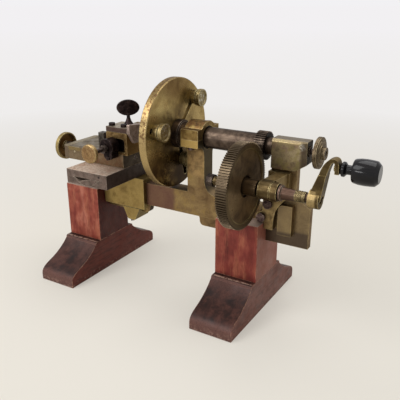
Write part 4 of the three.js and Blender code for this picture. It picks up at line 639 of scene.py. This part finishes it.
def post_wood(name, tones, side):
    coats = [
        # the right-facing side's tone: painted shadow for the left post, the wood's own tone for the right
        # post
        (facing(RIGHT), side, 0.9),
        (both(facing(FRONT), streaks(8 * MM, 0.5, 0.64, (1, 1, 4))), (172, 108, 78), 0.4),
        (both(facing(FRONT), streaks(6 * MM, 0.5, 0.64, (1.6, 1, 5))), (100, 34, 26), 0.5),
        (facing(UP), (172, 154, 140), 0.85),
    ]
    return mahogany(name, tones, "z", coats)


def foot_wood(name, node, side):
    ledge = at(node, 0, 0.295, 1)
    coats = [
        (facing(FRONT, 0.5, 0.9), (112, 78, 70), 0.7),
        (facing(RIGHT), side, 0.85),
        (both(facing(RIGHT), streaks(3 * MM, 0.5, 0.6)), (46, 24, 19), 0.4),
        (both(facing(UP, 0.25, 0.6), blotches(9 * MM, 0.46, 0.64)), (88, 54, 45), 0.45),
        (both(near(ledge, 50 * MM, 10 * MM, (1, 0.03, 1)), facing(UP, 0.1, 0.4), blotches(3 * MM, 0.4, 0.5)),
         (176, 146, 128), 0.8),
        (both(beyond(at(node, 0, 0, 0.14), DOWN, 8 * MM), blotches(3 * MM, 0.54, 0.6)),
         (158, 124, 110), 0.5),
    ]
    return mahogany(name, [(30, 15, 12), (52, 28, 22), (78, 46, 38)], "y", coats)


SURFACES = {
    "bed": bed_brass(),
    "cap": cap_brass(),
    "faceplate": faceplate_brass(),
    "nut": nut_brass(),
    "tube": tube_steel(),
    "dark_steel": metal("dark_steel", [(28, 22, 20), (50, 42, 37), (78, 67, 58)], 8 * MM),
    "steel": metal("browned_steel", [(54, 44, 40), (86, 74, 68), (118, 104, 96)], 7 * MM, (150, 140, 130)),
    # pinion: painted shade darkens its right-facing end to near black
    "pinion": metal("pinion_steel", [(54, 44, 38), (84, 72, 62), (108, 95, 82)], 8 * MM,
                    coats=[(facing(RIGHT, 0.6, 0.9), (22, 16, 12), 0.92)], grime_and_shade=0.3),
    "arbor": arbor_steel(),
    "wheel": wheel_brass(),
    "block": block_steel(),
    "knob": knob_brass(),
    "collar": metal("collar_brass", [(46, 36, 21), (68, 55, 33), (94, 78, 51)], 6 * MM, (206, 186, 138),
                    grime_and_shade=0.8),
    "screw": metal("screw_steel", [(48, 36, 35), (82, 64, 62), (118, 98, 94)], 3 * MM, (176, 156, 144)),
    "arm": arm_brass(),
    "bracket": bracket_brass(),
    "saddle": saddle_brass(),
    "table": table_iron(),
    "slide": slide_brass(),
    "hand_wheel": hand_wheel_brass(),
    "bridge": bridge_brass(),
    "front_knob": front_knob_brass(),
    "top_slide": top_slide_iron(),
    "jaw": jaw_iron(),
    # stud: painted shade darkens its right-facing side
    "stud": metal("stud_iron", [(60, 55, 49), (86, 81, 74), (108, 102, 94)], 5 * MM, (150, 144, 132),
                  coats=[(facing(RIGHT, 0.2, 0.6), (42, 28, 22), 0.85)]),
    "black": metal("blackened_steel", [(24, 18, 18), (44, 34, 33), (70, 56, 54)], 4 * MM, (104, 92, 86)),
    # the left post's near-black right side is painted shadow from the saddle and bed
    "left_post": post_wood("left_post_wood", [(112, 44, 36), (144, 70, 54), (172, 104, 84)], (52, 20, 16)),
    "right_post": post_wood("right_post_wood", [(88, 34, 28), (122, 52, 44), (142, 72, 56)], (134, 84, 68)),
    "left_foot": foot_wood("left_foot_wood", "left_foot_base", (108, 50, 39)),
    "right_foot": foot_wood("right_foot_wood", "right_foot_base", (120, 72, 60)),
    "ebony": ebony(),
}

NODE_SURFACES = {
    "bed": ["bed_frame"],
    "cap": ["bearing_cap"],
    "faceplate": ["faceplate"],
    "nut": ["dog_nut_1", "dog_nut_2", "dog_nut_3"],
    "tube": ["mandrel_spindle"],
    "pinion": ["pinion"],
    "dark_steel": ["arbor_nut", "front_bush", "dog_1", "dog_2", "dog_3"],
    "steel": ["draw_spindle", "long_feed_screw", "cross_feed_screw"],
    "arbor": ["crank_arbor"],
    "wheel": ["crank_wheel"],
    "block": ["rear_bearing_block"],
    "knob": ["draw_knob"],
    "collar": ["arbor_sleeve", "ringed_collar", "handle_spindle"],
    "arm": ["crank_arm"],
    "bracket": ["crank_bracket"],
    "saddle": ["saddle", "keystone_clamp"],
    "table": ["cross_table", "cross_way"],
    "slide": ["long_slide", "long_nut"],
    "hand_wheel": ["hand_wheel"],
    "bridge": ["bridge_block"],
    "front_knob": ["front_knob"],
    "top_slide": ["top_slide"],
    "jaw": ["clamp_jaw"],
    "stud": ["slide_stud"],
    "black": ["screw_bearing", "bearing_screw", "cross_feed_nut", "jaw_screw_1", "jaw_screw_2",
              "thumb_screw"],
    "screw": ["bracket_upper_screw", "bracket_lower_screw", "front_cap_screw", "back_cap_screw"],
    "left_post": ["left_foot_post"],
    "right_post": ["right_foot_post"],
    "left_foot": ["left_foot_base"],
    "right_foot": ["right_foot_base"],
    "ebony": ["crank_handle"],
}
SURFACE_OF = {node: surface for surface, group in NODE_SURFACES.items() for node in group}
PLAIN_SURFACE = "steel"  # for the nodes that no group names
WOODEN = {"left_post", "right_post", "left_foot", "right_foot"}
TOOTHED = {"crank_wheel", "pinion"}


def edge_width(name, surface):
    """How widely a node's sharp edges are rounded; 0 keeps them sharp."""
    if name in TOOTHED:
        return 0
    if "screw" in name or "nut" in name:
        return FINE_EDGE_WIDTH
    return WOOD_EDGE_WIDTH if surface in WOODEN else EDGE_WIDTH


def soften(piece, width):
    """Merges flat facets and rounds the sharp edges, or splits them where the width is 0."""
    weld = piece.modifiers.new("weld", "WELD")
    weld.merge_threshold = WELD_DISTANCE
    flat = piece.modifiers.new("flat", "DECIMATE")
    flat.decimate_type = "DISSOLVE"
    flat.angle_limit = FLAT_ANGLE
    if width:
        rounding = piece.modifiers.new("edge", "BEVEL")
        rounding.width = width
        rounding.segments = 2
        rounding.limit_method = "ANGLE"
        rounding.angle_limit = SHARP_ANGLE
        rounding.harden_normals = True
    else:
        split = piece.modifiers.new("split", "EDGE_SPLIT")
        split.split_angle = SHARP_ANGLE


def dress(name, piece):
    """Gives a node its material, smooth shading and soft edges."""
    surface = SURFACE_OF.get(name, PLAIN_SURFACE)
    piece.data.materials.clear()
    piece.data.materials.append(SURFACES[surface])
    for polygon in piece.data.polygons:
        polygon.use_smooth = True
    if "custom_normal" in piece.data.attributes:
        piece.data.attributes.remove(piece.data.attributes["custom_normal"])
    soften(piece, edge_width(name, surface))


# Stage

FLOOR_REACH = 30
FADE_REACH = 6
FLOOR_STOPS = [(0.0, srgb(228, 223, 213)), (0.045, srgb(223, 218, 208)), (0.2, srgb(239, 237, 236)),
               (1.0, srgb(242, 240, 242))]
FLOOR_GLOW = 0.45
FLOOR_GLOW_START = 0.05
FLOOR_GLOW_FULL = 0.2
SKY = srgb(242, 241, 243)
SKY_LIGHT = 0.5
LAMPS = [
    ("key", (-0.7, -0.9, 1.3), (0, 0, 0.12), (0.9, 0.9), 11),
    ("top", (0.2, 0.3, 1.6), (0, 0, 0.1), (1.4, 1.0), 12),
    ("strip", (-0.35, -1.1, 0.46), (0.15, 0, 0.18), (0.55, 0.12), 2.4),
]


def seen(tree):
    """1 for rays from the camera, a reflection or glass, and 0 for the light that falls on things."""
    path = tree.nodes.new("ShaderNodeLightPath")
    value = path.outputs["Is Camera Ray"]
    for other in ("Is Glossy Ray", "Is Transmission Ray"):
        larger = tree.nodes.new("ShaderNodeMath")
        larger.operation = "MAXIMUM"
        tree.links.new(value, larger.inputs[0])
        tree.links.new(path.outputs[other], larger.inputs[1])
        value = larger.outputs[0]
    return value


def add_floor():
    """A pale paper floor, a little brighter and plainer where it is far away."""
    bpy.ops.mesh.primitive_circle_add(vertices=64, radius=FLOOR_REACH, fill_type="NGON")
    floor = bpy.context.object
    floor.name = "floor"
    graph = Graph("pale_floor")
    length = graph.add("ShaderNodeVectorMath", operation="LENGTH")
    graph.link(graph.coordinates, length.inputs[0])
    distance = graph.math("DIVIDE", length.outputs["Value"], FADE_REACH)
    colour = graph.ramp(distance, FLOOR_STOPS)
    graph.finish(colour, FLOOR_ROUGHNESS)
    graph.shader.inputs["Specular IOR Level"].default_value = FLOOR_GLEAM
    glow = graph.add("ShaderNodeEmission")
    graph.link(colour, glow.inputs["Color"])
    far = graph.ramp(distance, [(FLOOR_GLOW_START, FLOOR_GLOW), (FLOOR_GLOW_FULL, 1.0)])
    blend = graph.add("ShaderNodeMixShader")
    graph.link(graph.times(seen(graph.tree), far), blend.inputs[0])
    graph.link(graph.shader.outputs[0], blend.inputs[1])
    graph.link(glow.outputs[0], blend.inputs[2])
    graph.link(blend.outputs[0], graph.tree.nodes["Material Output"].inputs["Surface"])
    floor.data.materials.append(graph.material)


def add_world():
    """A pale room to look at, and plain light from it."""
    world = bpy.data.worlds.new("studio")
    bpy.context.scene.world = world
    world.use_nodes = True
    tree = world.node_tree
    background = tree.nodes["Background"]
    background.inputs["Color"].default_value = (1, 1, 1, 1)
    background.inputs["Strength"].default_value = SKY_LIGHT
    room = tree.nodes.new("ShaderNodeBackground")
    room.inputs["Color"].default_value = SKY
    blend = tree.nodes.new("ShaderNodeMixShader")
    tree.links.new(seen(tree), blend.inputs[0])
    tree.links.new(background.outputs[0], blend.inputs[1])
    tree.links.new(room.outputs[0], blend.inputs[2])
    tree.links.new(blend.outputs[0], tree.nodes["World Output"].inputs["Surface"])


def add_lamp(name, place, target, size, power):
    data = bpy.data.lights.new(name, "AREA")
    data.shape = "RECTANGLE"
    data.size, data.size_y = size
    data.energy = power
    lamp = bpy.data.objects.new(name, data)
    lamp.location = place
    lamp.rotation_euler = (Vector(target) - Vector(place)).to_track_quat("-Z", "Y").to_euler()
    bpy.context.scene.collection.objects.link(lamp)


def add_camera():
    data = bpy.data.cameras.new("camera")
    data.sensor_width = SENSOR_WIDTH
    data.lens = FOCAL_LENGTH
    camera = bpy.data.objects.new("camera", data)
    back = -CAMERA_FORWARD.normalized()
    right = CAMERA_UP.cross(back).normalized()
    up = back.cross(right)
    turn = Matrix((right, up, back)).transposed()
    camera.matrix_world = Matrix.Translation(CAMERA_PLACE) @ turn.to_4x4()
    bpy.context.scene.collection.objects.link(camera)
    bpy.context.scene.camera = camera


for name, piece in nodes.items():
    dress(name, piece)
add_floor()
add_world()
for lamp in LAMPS:
    add_lamp(*lamp)
add_camera()
bpy.context.scene.view_settings.view_transform = "Standard"
